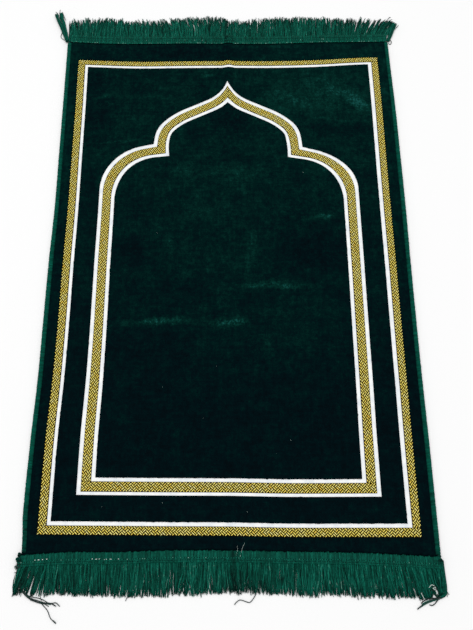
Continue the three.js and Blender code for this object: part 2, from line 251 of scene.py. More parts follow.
class Surface:
    """A material's nodes, written as calls: an input that is a socket is linked, another is set."""

    def __init__(self, name, **fixed):
        self.material = bpy.data.materials.new(name)
        self.material.use_nodes = True
        self.tree = self.material.node_tree
        self.shader = self.tree.nodes["Principled BSDF"].inputs
        self.where = self.node("TexCoord")["Object"]
        for socket, value in fixed.items():
            self.put(self.shader[socket.replace("_", " ")], value)

    def put(self, socket, value):
        if isinstance(value, bpy.types.NodeSocket):
            self.tree.links.new(value, socket)
        else:
            socket.default_value = value

    def node(self, kind, **given):
        """A node's outputs. Capitalised names and i0, i1 and so on are inputs, others are settings."""
        made = self.tree.nodes.new("ShaderNode" + kind)
        for key, value in given.items():
            if key[0].isupper():
                self.put(made.inputs[key], value)
            elif key[1:].isdigit():
                self.put(made.inputs[int(key[1:])], value)
            else:
                setattr(made, key, value)
        return made.outputs

    def vector(self, operation, *inputs):
        numbered = {f"i{k}": value for k, value in enumerate(inputs)}
        return self.node("VectorMath", operation=operation, **numbered)[0]

    def times(self, a, b, plus=0.0, clamp=False):
        """a times b, and a third value added."""
        return self.node("Math", operation="MULTIPLY_ADD", use_clamp=clamp, i0=a, i1=b, i2=plus)[0]

    def noise(self, seed, scale, detail=2, rough=0.6):
        """Variation from 0 to 1, scale in waves per metre, one for all directions or one for each."""
        at = self.where
        if isinstance(scale, tuple):
            at, scale = self.vector("MULTIPLY", at, scale), 1
        inputs = {"Vector": at, "Scale": scale, "Detail": detail, "Roughness": rough, "W": seed}
        return self.node("TexNoise", noise_dimensions="4D", **inputs)[0]

    def ramp(self, fac, *stops):
        """A colour ramp with stops of (place, red, green, blue) in screen values."""
        made = self.tree.nodes.new("ShaderNodeValToRGB")
        line = made.color_ramp.elements
        while len(line) < len(stops):
            line.new(0.5)
        for element, (place, *colour) in zip(line, stops):
            element.position = place
            element.color = srgb(*colour)
        self.put(made.inputs[0], fac)
        return made.outputs[0]

    def bump(self, height, strength, distance, **under):
        return self.node("Bump", Height=height, Strength=strength, Distance=distance, **under)[0]

    def finish(self, colour, normal, roughness):
        for name, value in (("Base Color", colour), ("Normal", normal), ("Roughness", roughness)):
            if value is not None:
                self.put(self.shader[name], value)
        return self.material


# Nap marks of painted sheen and shade: middle, half length and half width, turn in degrees, how much lighter.
NAP_SHEEN_MARKS = Table(
    "x y long wide turn tone",
    # painted sheen: streaks where the pile stands up along a fold or a stroke of the hand
    (189, 101, 52, 8, 6, 0.26), (97, -46, 88, 10, 0, 0.3), (-140, -123, 92, 13, 1, 0.36),
    (-4, -123, 60, 12, 2, 0.38), (-268, 391, 42, 8, 22, 0.22), (-160, 393, 90, 10, -2, 0.12),
    (-230, 281, 81, 3.2, 5, 0.2), (-47, 450, 24, 5, 6, 0.24), (235, 405, 96, 17, -35, 0.1),
    (278, 368, 44, 16, -24, 0.26), (226, 330, 82, 5, -1, 0.16), (-158, 516, 149, 6, 1, 0.08),
    (72, 527, 98, 6, -2, 0.12), (107, 244, 26, 7, -10, 0.12),
    # lighter patches of painted sheen
    (42, 51, 16, 45, 0, 0.2), (36, -10, 13, 38, 0, 0.12), (-92, 206, 55, 32, 0, 0.15),
    (22, 194, 66, 42, 0, 0.15), (198, 219, 55, 22, 0, 0.14), (205, 400, 155, 88, 0, 0.15),
    (105, 390, 69, 56, 0, 0.1), (-120, 412, 57, 50, 0, 0.07), (-117, 51, 16, 33, 0, 0.12),
    (-86, -25, 16, 10, 0, 0.2), (71, -170, 18, 43, 0, 0.1), (64, -284, 15, 9, 0, 0.12),
    (-189, -312, 22, 10, 0, 0.09), (146, -18, 21, 10, 0, 0.14), (-47, 122, 81, 43, 0, 0.08),
    (-208, 77, 37, 24, 0, 0.1), (132, -138, 126, 108, 0, 0.06), (0, -60, 300, 260, 0, 0.09),
    # darker patches of painted shade, where the nap lies the other way
    (157, 29, 100, 79, 0, -0.2), (-190, 29, 53, 47, 0, -0.15), (-144, -171, 125, 64, 0, -0.07),
    (39, -73, 67, 22, 0, -0.1), (-278, 328, 51, 75, 0, -0.17), (-2, 334, 57, 55, 0, -0.2),
    (221, 308, 101, 27, 0, -0.14), (-285, 162, 25, 82, 0, -0.12), (-95, -59, 93, 40, 0, -0.1),
    (-2, -398, 16, 16, 0, -0.12), (13, 284, 34, 87, 0, -0.06), (-68, 294, 39, 34, 0, -0.1),
    (-304, -80, 15, 167, 0, -0.05), (-5, 491, 18, 37, 0, -0.05), (-120, 512, 300, 34, 0, -0.17),
    (-285, 440, 60, 90, 0, -0.15), (-120, 420, 220, 130, 0, -0.05),
)


def painted_nap_sheen(s, marks, wander):
    """The marks' painted sheen and shade, summed: ovals that fade from their middles, with edges that wander.
    """
    drift = s.node("TexNoise", Vector=s.where, Scale=26.0, Detail=3.0, Roughness=0.6)[1]
    drift = s.vector("SUBTRACT", drift, (0.5, 0.5, 0.5))
    where = s.vector("MULTIPLY_ADD", drift, (wander * MM,) * 3, s.where)
    total = 0.0
    for x, y, long, wide, turn, tone in marks.rows:
        place = {"Location": (*lay([x, y, 0.0])[:2], 0.0), "Rotation": (0.0, 0.0, math.radians(turn))}
        size = (long * MM, wide * MM, 1.0)
        oval = s.node("Mapping", vector_type="TEXTURE", Vector=where, Scale=size, **place)[0]
        near = s.node("TexGradient", gradient_type="SPHERICAL", Vector=oval)[1]
        total = s.times(near, tone, total)
    return total


def pile_material():
    """Cut pile, near black, with painted sheen where its nap is brushed and to the far end, and patches of
    painted shade.
    """
    s = Surface("velour_pile", Specular_IOR_Level=0.0, Sheen_Weight=0.02, Sheen_Roughness=0.35)
    s.put(s.shader["Sheen Tint"], srgb(60, 170, 140))
    along = s.node("SeparateXYZ", Vector=s.where)[1]
    # painted sheen: the pile grows lighter towards the far end, where it is seen more from the side
    light = s.node("MapRange", clamp=True, Value=along, i1=-0.30, i2=0.30, i3=0.20, i4=0.47)[0]
    uneven = (
        (s.noise(2, 30, 3), 0.52), (s.noise(4, 130, 3), 0.78), (s.noise(5, (190, 16, 1), 3, 0.7), 0.30),
        (s.noise(6, (14, 170, 1), 3, 0.7), 0.36), (s.noise(7, 420), 0.60),
    )
    rough = -0.5 * sum(much for _, much in uneven)
    for noise, much in uneven:
        rough = s.times(noise, much, rough)
    far_sheen_and_rough = s.times(rough, s.times(light, 0.4, 0.95), light)
    broken = s.times(s.noise(11, 190, 3, 0.7), 5.0, -1.2)
    tone = s.times(painted_nap_sheen(s, NAP_SHEEN_MARKS, 26.0), broken, far_sheen_and_rough)
    darker = ((0.0, 4, 12, 16), (0.22, 3, 17, 21), (0.42, 2, 25, 25))
    colour = s.ramp(tone, *darker, (0.6, 4, 35, 31), (0.8, 7, 48, 42), (1.0, 20, 74, 70))
    nap = s.bump(s.noise(3, (260, 60, 1), rough=0.5), 0.25, 0.0012)
    return s.finish(colour, s.bump(s.noise(1, 1500), 0.5, 0.0004, Normal=nap), 0.95)


def weave(s, across, along, distortion, detail):
    """Ribs of a plain weave, from 0 to 1."""
    ribs = {"Vector": s.where, "Distortion": distortion, "Detail": detail}
    ways = (("X", across), ("Y", along))
    return s.times(*(s.node("TexWave", bands_direction=way, Scale=scale, **ribs)[1] for way, scale in ways))


def white_material():
    """White woven band: fine ribs across the yarn, a little grey where it is handled."""
    s = Surface("white_band", Specular_IOR_Level=0.1)
    woven = weave(s, 190, 150, 1.2, 1)
    tone = s.ramp(s.noise(4, 60, 3), (0.3, 228, 234, 239), (0.62, 252, 253, 252))
    mixed = {"i0": s.times(woven, 0.12), "i6": tone, "i7": srgb(170, 172, 174)}
    colour = s.node("Mix", data_type="RGBA", blend_type="MIX", **mixed)[2]
    return s.finish(colour, s.bump(woven, 0.35, 0.0003), 0.85)


def gold_ground_material():
    """The dark ground between the gold floats."""
    s = Surface("gold_ground", Specular_IOR_Level=0.0)
    grain = s.noise(6, 900)
    return s.finish(s.ramp(grain, (0.25, 20, 13, 0), (0.75, 54, 39, 0)), s.bump(grain, 0.4, 0.0003), 0.8)


def backing_material():
    """The woven back: dark green cloth with fine cross ribs."""
    s = Surface("woven_back", Specular_IOR_Level=0.1)
    woven = weave(s, 160, 130, 0.6, 2)
    return s.finish(s.ramp(woven, (0.1, 4, 26, 24), (0.8, 14, 60, 50)), s.bump(woven, 0.5, 0.0003), 0.85)


def yarn_material(name, roughness, specular, *stops):
    """Yarn whose tone comes from each strand's own shade, with the fine ribs of its twist."""
    s = Surface(name, Specular_IOR_Level=specular)
    shade = s.times(s.node("Attribute", attribute_name="shade")["Fac"], 1.0, -0.25)
    tone = s.times(s.noise(8, 260), 0.5, shade, clamp=True)
    return s.finish(s.ramp(tone, *stops), s.bump(s.noise(9, 900), 0.3, 0.0002), roughness)


PILE = pile_material()
WHITE = white_material()
GOLD_GROUND = gold_ground_material()
BACK = backing_material()
GOLD = ((0.0, 250, 198, 64), (0.45, 255, 236, 112), (0.8, 255, 248, 168), (1.0, 255, 251, 212))
GREENS = ((0.0, 0, 34, 28), (0.45, 4, 80, 65), (0.8, 16, 116, 96), (1.0, 130, 180, 166))
DARKS = ((0.0, 14, 24, 24), (0.6, 36, 52, 50), (1.0, 96, 116, 112))
PALES = ((0.0, 180, 205, 195), (1.0, 235, 240, 238))
GOLD_YARN = yarn_material("gold_yarn", 0.5, 0.08, *GOLD)
BINDING_YARN = yarn_material("binding_yarn", 0.8, 0.04, *GREENS)
FRINGE_YARN = yarn_material("fringe_yarn", 0.6, 0.06, *GREENS)
TAIL_YARN = yarn_material("tail_yarn", 0.6, 0.06, *GREENS)
DARK_THREAD = yarn_material("dark_thread", 0.6, 0.2, *DARKS)
WHITE_THREAD = yarn_material("white_thread", 0.7, 0.1, *PALES)


# ---- outlines of the woven bands ----

# Stations along the crown, the lobe, the side and the foot of each half of a closed outline, from
# its top middle round one side.
STATIONS = (84, 48, 150, 66)
MIHRAB = {"half_width": 262.0, "foot": 433.9, "band": 31.5, "foot_band": 30.6, "white": 7.1}
FOOT_WHITE = 5.9  # the arch's outer white is narrower at its foot
CROWN_LEAN = 1.8  # and its crown lies this far to the left
# The ogee of the arch: a hollow arc about a centre, a straight slope, then three full arcs.
CROWN = {"centre": (82.9, 475.2), "radius": 88.0, "slope": 26.4, "straight": 52.2}
CROWN_ARCS = Table("radius turn", (158, 19.8), (63, 34.5), (227, 8.0))
# Each lobe: where it leaves its side, its two arcs on the way up, and the cusp where it meets the
# crown. The weave lies a little higher on the left.
LOBES = {
    ("left", "outer"): {"springs": 175, "arcs": ((109, 34), (109, 42.6)), "cusp": (153.8, 286.6)},
    ("right", "outer"): {"springs": 173, "arcs": ((85, 36), (125, 37.6)), "cusp": (154, 277.2)},
    ("left", "inner"): {"springs": 152.5, "arcs": ((121, 28.4), (84.6, 55.7)), "cusp": (121.8, 256.8)},
    ("right", "inner"): {"springs": 147.6, "arcs": ((114, 29.3), (90, 49.5)), "cusp": (121.8, 254)},
}
# Widths of the border's outer gold and its inner white.
BORDER_GOLD = {"left": 15.6, "right": 14.4, "near": 15.8, "far": 12.4}
BORDER_WHITE = {"left": 6.3, "right": 7.8, "near": 7.2, "far": 6.0}


def arc(start, heading, radius, turn, steps=24):
    """Points of an arc from start; turn in degrees is positive to the left. Gives its end heading."""
    side = math.copysign(1, turn)
    centre = start + side * radius * np.array([-math.sin(heading), math.cos(heading)])
    angle = heading + np.radians(np.linspace(0, turn, steps))
    return centre + side * radius * np.stack([np.sin(angle), -np.cos(angle)], axis=1), angle[-1]


def arcs(line, heading, bends):
    """The line with arcs added to its end, one after another, each of a radius and a turn."""
    for radius, turn in bends:
        points, heading = arc(line[-1], heading, radius, turn)
        line = np.concatenate([line, points[1:]])
    return line


def distances(line):
    """How far along a line each of its points lies."""
    return np.concatenate([[0], np.cumsum(np.linalg.norm(np.diff(line, axis=0), axis=1))])


def points_at(line, along, at):
    return np.stack([np.interp(at, along, line[:, k]) for k in (0, 1)], axis=1)


def crown_line(inset, cusp):
    """The arch from its tip to the cusp, inset from the band's outer edge."""
    centre, radius = np.array(CROWN["centre"]), CROWN["radius"] + inset
    slope = math.radians(CROWN["slope"])
    angle = np.linspace(math.acos(centre[0] / radius), math.pi / 2 - slope, 24)
    hollow = centre - radius * np.stack([np.cos(angle), np.sin(angle)], axis=1)
    run = CROWN["straight"] * np.array([math.cos(slope), -math.sin(slope)])
    line = np.concatenate([hollow, [hollow[-1] + run]])
    line = arcs(line, -slope, CROWN_ARCS.rows * [1, -1] - [inset, 0])
    return np.concatenate([line[line[:, 1] > cusp[1] + 4], [cusp]])


def lobe_line(half_width, lobe):
    """From the cusp over the lobe to where it springs from its side."""
    line = arcs(np.array([[half_width, lobe["springs"]]]), math.pi / 2, lobe["arcs"])
    return np.concatenate([[lobe["cusp"]], line[line[:, 0] > lobe["cusp"][0] + 2][::-1]])


def stationed(*runs):
    """Half an outline: its crown, lobe, side and foot, each in steps of equal length."""
    line = []
    for run, count in zip(runs, STATIONS):
        along = distances(run)
        line.append(points_at(np.array(run), along, np.linspace(0, along[-1], count + 1)[:-1]))
    return np.concatenate([*line, [runs[-1][-1]]])


def mihrab_half(side, edge):
    """Half of the arched outline, x growing outwards, about the border's middle."""
    inset, rise = (0.0, 0.0) if edge == "outer" else (MIHRAB["band"], MIHRAB["foot_band"])
    lobe, across, foot = LOBES[side, edge], MIHRAB["half_width"] - inset, rise - MIHRAB["foot"]
    low = [[across, lobe["springs"]], [across, foot], [0.0, foot]]
    return stationed(crown_line(inset, lobe["cusp"]), lobe_line(across, lobe), low[:2], low[1:])


def box_half(across, far, near, split):
    """Half of a square outline with the stations of the arched one."""
    corners = [[0.0, far], [across, far], [across, split], [across, near], [0.0, near]]
    return stationed(*zip(corners, corners[1:]))


def closed(right, left):
    """One closed outline, clockwise from the top middle, from its two halves."""
    other = left[::-1] * [-1, 1]
    return np.concatenate([right[:-1], other[:-1]])


def box_ring(left, right, near, far, split=250.0, centre=(0.0, 0.0)):
    return closed(box_half(right, far, near, split), box_half(left, far, near, split)) + centre


def border_ring(place, off=0.0):
    """A line of the border: 0 at its outer edge, 1 where gold meets white, 2 at its inner edge."""
    gold, white = min(place, 1), max(place - 1, 0)
    reach = {side: BORDER_GOLD[side] * gold + BORDER_WHITE[side] * white + off for side in BORDER_GOLD}
    across, along = BORDER_HALF
    sides = (across - reach["left"], across - reach["right"], reach["near"] - along, along - reach["far"])
    return box_ring(*sides, centre=BORDER_CENTRE)


def mihrab_outline(edge):
    """One edge of the arched band, clockwise from its tip."""
    outline = closed(mihrab_half("right", edge), mihrab_half("left", edge)) + MIHRAB_CENTRE
    outline[:, 0] -= CROWN_LEAN * np.clip((outline[:, 1] - 235) / 40, 0, 1)
    return outline


MIHRAB_OUTER, MIHRAB_INNER = mihrab_outline("outer"), mihrab_outline("inner")


def mihrab_ring(place, off=0.0):
    """A line of the arched band: at 0 and 3 its edges, at 1 and 2 where white meets gold."""
    white, band = MIHRAB["white"], MIHRAB["band"]
    inset = np.interp(place, range(4), (0, white, band - white, band)) + off
    line = MIHRAB_OUTER + (MIHRAB_INNER - MIHRAB_OUTER) * (inset / band)
    at_foot = MIHRAB_OUTER[:, 1] < MIHRAB_OUTER[:, 1].min() + 0.01
    line[at_foot, 1] -= (white - FOOT_WHITE) * ridge(inset - white, 5.0)
    return line


def spine_ring():
    """The narrow ring at the middle of the field, from which its faces spread."""
    return box_ring(5.0, 5.0, -190.0, 180.0, split=60.0, centre=BORDER_CENTRE)


# ---- velour panel ----

PILE_SLOT, WHITE_SLOT, GOLD_SLOT, BACK_SLOT = range(4)
NAP_LEAN = 0.6  # how far the pile leans towards the foot, for each millimetre of its height
RAGGED = 0.34  # how far the pile's cut edges stray
PRESSED_IN = 0.4  # the cloth is pressed flat from this far inside the head line
# Down from the pile to a band, up again, and the groove between two bands: distance past the edge
# and depth below the pile's tips. The next surface starts at turn.
DROP = {
    "turn": 0.3,
    "rows": ((-5.0, 0), (-2.2, 0.05), (-1.0, 0.25), (-0.4, 0.7), (0, 1.2), (0.3, 1.7), (1, 1.8)),
}
RISE = {"turn": -0.3, "rows": tuple((-off, depth) for off, depth in DROP["rows"][::-1])}
GROOVE = {"turn": 0.0, "rows": ((-0.6, 1.8), (0.0, 2.3), (0.5, 1.8))}
BAND_MIDDLE = {GOLD_SLOT: BAND_DEPTH - 0.05, WHITE_SLOT: BAND_DEPTH - 0.12}
# Where the pile rounds off: distance in from the rug's long edges, and depth. Along its ends the
# distance is from this far past the head line.
EDGE_ROLL = ((9.4, 0.5), (10.4, 0.12), (12.5, 0), (18, 0))
ROLL_PAST_HEAD = 7.4
# How far each ring of the field, and of the back, lies towards the middle.
FIELD_SHARES = (
    0.05, 0.11, 0.18, 0.25, 0.32, 0.39, 0.46, 0.53, 0.6, 0.67, 0.73, 0.78, 0.83, 0.87, 0.91, 0.945, 0.975, 1,
)
BACK_SHARES = (0.0, 0.02, 0.06, 0.14, 0.26, 0.4, 0.55, 0.7, 0.82, 0.91, 1.0)


def band_rings(ring, slots):
    """Rings over woven bands, from pile to pile, where slots lists the surfaces in turn."""
    rings = []
    for place, (before, after) in enumerate(zip(slots, slots[1:])):
        profile = DROP if before == PILE_SLOT else RISE if after == PILE_SLOT else GROOVE
        for off, depth in profile["rows"]:
            rings.append((ring(place, off), depth, before if off < profile["turn"] else after))
        if after != PILE_SLOT:
            rings.append((ring(place + 0.5), BAND_MIDDLE[after], after))
    return rings


def between(start, stop, shares):
    return [start + (stop - start) * share for share in shares]


def panel_rings():
    """Rings from the panel's edge inwards: (outline, depth below the pile's tips, slot inside it)."""
    tongue = HALF - BINDING["width"] - CLEARANCE - 0.1
    side_top = BINDING["lip"] + BINDING["slot"] - CLEARANCE
    rings = []
    edge, pressed_from = HALF - BINDING["wall"] - CLEARANCE, HEAD - PRESSED_IN
    for x, y in ((edge, HEAD + FRINGE["hem"]), (tongue, pressed_from)):
        outline = box_ring(x, x, -y, y)
        pressed = np.abs(outline[:, 1]) >= pressed_from - 0.01
        rings.append((outline, PILE_HEIGHT - np.where(pressed, PRESSED_HEIGHT, side_top), PILE_SLOT))
    for inset, depth in EDGE_ROLL:
        x, y = HALF - inset, HEAD + ROLL_PAST_HEAD - inset
        rings.append((box_ring(x, x, -y, y), depth, PILE_SLOT))
    rings += band_rings(border_ring, (PILE_SLOT, GOLD_SLOT, WHITE_SLOT, PILE_SLOT))
    margin = between(rings[-1][0], mihrab_ring(0, DROP["rows"][0][0]), np.linspace(0, 1, 12)[1:-1])
    rings += [(outline, 0.0, PILE_SLOT) for outline in margin]
    rings += band_rings(mihrab_ring, (PILE_SLOT, WHITE_SLOT, GOLD_SLOT, WHITE_SLOT, PILE_SLOT))
    field = between(rings[-1][0], spine_ring(), FIELD_SHARES)
    return rings + [(outline, 0.0, PILE_SLOT) for outline in field]


def waves(x, y):
    """Slow unevenness of the cloth, under half a millimetre."""
    broad = 0.16 * np.sin(x / 41 + 1.3) * np.sin(y / 67 + 0.4)
    return broad + 0.12 * np.sin(x / 23 + y / 57) + 0.07 * np.sin(y / 13 + 2.1 * np.sin(x / 60))


def strip(outer, inner, count):
    """Quads between two rings of count points that start at these indices."""
    i = np.arange(count)
    j = (i + 1) % count
    return np.stack([outer + i, inner + i, inner + j, outer + j], axis=1)


def spine_faces(first, count):
    """The narrow ring's own middle, between its two sides."""
    i = np.arange(1, count // 2 - 1)
    right, left = first + i, first + count - i
    foot = first + count // 2
    ends = [[first, first + count - 1, first + 1], [foot - 1, foot + 1, foot]]
    return np.stack([right, left, left - 1, right + 1], axis=1), np.array(ends)


def velour_panel():
    """The whole pile cloth: its face from the edge inwards, then its back."""
    piece = Piece("velour", PILE, WHITE, GOLD_GROUND, BACK)
    rng = np.random.default_rng(11)
    rings = panel_rings()
    count = len(rings[0][0])
    points = []
    for outline, depth, _ in rings:
        height = PILE_HEIGHT - depth
        cut = (depth > 0.2) & (depth < 1.5) & (np.abs(outline[:, 0]) < HALF - 12)
        x, y = (outline + rng.normal(0, RAGGED, (count, 2)) * cut[:, None]).T
        y = y - NAP_LEAN * np.clip(height - (PILE_HEIGHT - BAND_DEPTH), 0, None)
        flat = np.where(height > 3.9, 1.0, 0.4) * (depth < 2)
        points.append(np.stack([x, y, height + waves(x, y) * flat], axis=1))
    for outline in between(rings[0][0], spine_ring(), BACK_SHARES):
        x, y = np.abs(outline.T)
        tongue = (x > HALF - BINDING["width"] - 0.4) & (y < HEAD - PRESSED_IN)
        points.append(np.column_stack([outline, np.where(tongue, BINDING["lip"] + CLEARANCE, 0.0)]))
    first = [k * count for k in range(len(points))]
    back = len(rings)
    blocks = [(strip(first[k], first[k + 1], count), rings[k][2]) for k in range(back - 1)]
    blocks += [(block, PILE_SLOT) for block in spine_faces(first[back - 1], count)]
    under = [strip(first[k], first[k + 1], count) for k in range(back, len(points) - 1)]
    under += spine_faces(first[-1], count)
    blocks += [(block[:, ::-1], BACK_SLOT) for block in under]
    blocks.append((strip(first[back], 0, count), BACK_SLOT))
    piece.add(lay(np.concatenate(points)), *zip(*blocks))
    return piece.make("velour", "velour_panel")


# ---- edge tufts ----

TUFT = {"pitch": 1.2, "radii": np.array([0.28, 0.22, 0.05]), "stray": 0.45, "root": 1.3}


def edge_tufts():
    """Pile tips that lean over the bands' edges, so that no edge is a clean cut."""
    piece = Piece("pile_edge_tufts", PILE)
    rng = np.random.default_rng(23)
    for outline, out in ((border_ring(0), 1), (border_ring(2), -1), (MIHRAB_OUTER, 1), (MIHRAB_INNER, -1)):
        line = np.concatenate([outline, outline[:1]])
        along = distances(line)
        count = int(along[-1] / TUFT["pitch"])
        root = points_at(line, along, (np.arange(count) + rng.random(count)) * along[-1] / count)
        ahead = np.gradient(root, axis=0)
        ahead /= np.linalg.norm(ahead, axis=1, keepdims=True) + 1e-9
        away = out * np.stack([-ahead[:, 1], ahead[:, 0]], axis=1)
        root = root + away * rng.uniform(0.2, 1.2, count)[:, None]
        reach = rng.normal(0, TUFT["stray"], (count, 2)) + [0, -1.0]  # the nap leans to the foot
        top = PILE_HEIGHT - rng.uniform(0.05, 0.6, count)
        low = np.column_stack([root, np.full(count, PILE_HEIGHT - TUFT["root"])])
        middle = np.column_stack([root + reach * 0.45, top])
        tip = np.column_stack([root + reach - away * 0.4, top - 0.25])
        radii = TUFT["radii"] * rng.uniform(0.8, 1.3, (count, 1)) * MM
        piece.add(*tubes(lay(np.stack([low, middle, tip], axis=1)), radii, 3))
    return piece.make("velour")


# ---- gold floats ----

FLOAT = {"width": 1.03, "height": 0.75, "shorten": 0.15, "stray": 0.08, "foot": 0.05, "rise": 0.30}
# Along a float: share of its length, how far it has risen, and its share of the full width.
FLOAT_SHAPE = np.array([(0, 0, 0.35), (0.1, 0.7, 0.85), (0.5, 1, 1), (0.9, 0.7, 0.85), (1, 0, 0.35)])
# Plaited repeats of each band: millimetres across and along the rug, and where one starts.
PLAITS = {
    "near": ((9.9, 9.8), (3.96, 7.84)), "far": ((9.9, 9.8), (3.96, 7.84)),
    "left": ((8.4, 12.2), (6.72, 2.44)), "right": ((8.4, 12.08), (2.52, 1.21)),
    "foot": ((9.85, 9.8), (4.92, 6.86)),
    "arch_left": ((8.4, 12.2), (0.84, 2.44)), "arch_right": ((8.4, 12.08), (7.56, 2.42)),
}


def inside(points, outline):
    """Which points lie inside a closed outline, by crossings."""
    x, y = points.T
    found = np.zeros(len(points), bool)
    for (ax, ay), (bx, by) in zip(outline, np.roll(outline, -1, axis=0)):
        if ay != by:
            found ^= ((ay > y) != (by > y)) & (x < (bx - ax) * (y - ay) / (by - ay) + ax)
    return found


def plait(band, low, high):
    """Float lines of a band's repeat over a box: pairs of strokes that slope one way, then the other."""
    size, start = np.array(PLAITS[band])
    first = np.floor((low - start) / size) - 1
    last = np.ceil((high - start) / size) + 2
    i, j = np.meshgrid(*(np.arange(*ends) for ends in zip(first, last)))
    cells = np.column_stack([i.ravel(), j.ravel()])
    strokes = []
    for slope, shift in ((1, 0.0), (-1, 0.5)):
        for pair in (-0.125, 0.125):
            centre = cells + shift + [pair, -slope * pair]
            half = np.array([0.25, 0.25 * slope])
            strokes.append(np.stack([centre - half, centre + half], axis=1) * size + start)
    return np.concatenate(strokes)


def clipped(strokes, test, samples=13):
    """Each stroke cut to its longest run where test holds; short rests are dropped."""
    t = np.linspace(0, 1, samples)
    points = strokes[:, 0, None] + (strokes[:, 1] - strokes[:, 0])[:, None] * t[:, None]
    good = test(points.reshape(-1, 2)).reshape(len(strokes), samples)
    run = best = best_end = np.zeros(len(strokes), int)
    for k in range(samples):
        run = np.where(good[:, k], run + 1, 0)
        longer = run > best
        best, best_end = np.where(longer, run, best), np.where(longer, k, best_end)
    keep = best >= 3
    last, first = t[best_end[keep]], t[best_end[keep] - best[keep] + 1]
    a, d = strokes[keep, 0], strokes[keep, 1] - strokes[keep, 0]
    return np.stack([a + d * first[:, None], a + d * last[:, None]], axis=1)


def floats(piece, strokes, rng):
    """Raised yarn floats along flat strokes."""
    count = len(strokes)
    shares, rise, wide = FLOAT_SHAPE.T
    d = strokes[:, 1] - strokes[:, 0]
    length = np.linalg.norm(d, axis=1, keepdims=True)
    cut = d / length * np.minimum(FLOAT["shorten"], length * 0.2)
    a, b = strokes[:, 0] + cut, strokes[:, 1] - cut
    stray = rng.normal(0, FLOAT["stray"], (count, 2))
    flat = a[:, None] + (b - a)[:, None] * shares[:, None] + stray[:, None]
    z = PILE_HEIGHT - BAND_DEPTH + FLOAT["foot"] + rise * FLOAT["rise"]
    lines = np.concatenate([flat, np.broadcast_to(z[:, None], (count, len(z), 1))], axis=2)
    radii = wide * FLOAT["width"] * rng.uniform(0.9, 1.08, (count, 1)) * MM
    sides = 4
    points, faces = tubes(lay(lines), radii, sides, FLOAT["height"] / FLOAT["width"] * 0.6)
    piece.add(points, faces, 0, np.repeat(np.clip(rng.normal(0.5, 0.11, count), 0, 1), len(z) * sides))


def braid(name, seed, boxes, within):
    """Gold floats that fill boxes, each with its own plait, where within holds too."""
    piece = Piece(name, GOLD_YARN)
    rng = np.random.default_rng(seed)
    for band, (low, high) in boxes.items():
        strokes = plait(band, np.array(low), np.array(high))
        here = clipped(strokes, lambda p, a=low, b=high: ((p > a) & (p < b)).all(axis=1) & within(p))
        floats(piece, here, rng)
    return piece.make("velour")


def border_braid():
    outer, inner = border_ring(0, 0.3), border_ring(1, -0.8)
    (x0, y0), (x1, y1) = outer.min(0), outer.max(0)
    (a0, b0), (a1, b1) = inner.min(0), inner.max(0)
    boxes = {
        "near": ((x0, y0), (x1, b0)), "far": ((x0, b1), (x1, y1)),
        "left": ((x0, b0), (a0, b1)), "right": ((a1, b0), (x1, b1)),
    }
    return braid("border_braid", 31, boxes, lambda p: True)


def mihrab_braid():
    outer, inner = mihrab_ring(1, 0.5), mihrab_ring(2, -0.6)
    (x0, y0), (x1, y1) = outer.min(0), outer.max(0)
    middle, foot = MIHRAB_CENTRE[0], inner[:, 1].min()
    boxes = {
        "foot": ((x0, y0), (x1, foot)),
        "arch_left": ((x0, foot), (middle, y1)), "arch_right": ((middle, foot), (x1, y1)),
    }
    return braid("mihrab_braid", 37, boxes, lambda p: inside(p, outer) & ~inside(p, inner))


# ---- bindings ----

TURN = {"pitch": 2.3, "steps": 4, "sides": 12}
DRAWN_IN, DRAWN_OVER = 3.0, 60.0  # the left binding draws in where it meets the near fringe
NEAR_DARKENING, NEAR_DARKENING_OVER = {-1: 0.22, 1: 0.08}, 70.0  # and each is darker towards its near corner


def binding(name, side):
    """Yarn overcast round a long edge: close turns, each a soft ridge."""
    piece = Piece(name + "_yarn", BINDING_YARN)
    rng = np.random.default_rng(41 + side)
    end = HEAD - 2 - CLEARANCE
    turns = int(2 * end / TURN["pitch"])
    y = np.linspace(-end, end, turns * TURN["steps"] + 1)[:, None]
    turn = np.arange(len(y)) // TURN["steps"]
    size = 1 + rng.normal(0, 0.03, turns + 1)[turn, None]
    angle = 2 * np.pi * (np.arange(TURN["sides"]) + 0.5) / TURN["sides"]
    cos, sin = np.cos(angle), np.sin(angle)
    wide = BINDING["width"] / 2 * np.sign(cos) * np.abs(cos) ** 0.75
    tall = BINDING["height"] / 2 * np.sign(sin) * np.abs(sin) ** 0.8
    swell = (0.9 + 0.1 * np.abs(np.sin(np.pi * (y / TURN["pitch"] + 0.3 * cos)))) * size
    x = side * (HALF - BINDING["width"] / 2 + 0.4) + wide * swell * 1.12
    z = BINDING["height"] / 2 + np.maximum(tall * swell, -BINDING["height"] / 2)
    if side < 0:
        x = x + DRAWN_IN * ridge(y + end, DRAWN_OVER)
    near_darkening = NEAR_DARKENING[side] * ridge(y + end, NEAR_DARKENING_OVER)
    # painted light and shade: each turn is lighter on its outer side and darker on its inner side, beside the
    # pile
    shade = 0.31 + rng.normal(0, 0.07, turns + 1)[turn, None] - near_darkening + 0.10 * side * cos
    faces = tube_faces(len(y), TURN["sides"], turned=True)
    piece.add(lay(np.stack([x, y + 0.35 * side * cos, z], axis=2)), faces, 0, np.clip(shade.ravel(), 0, 1))
    return piece.make("binding_yarn", name)
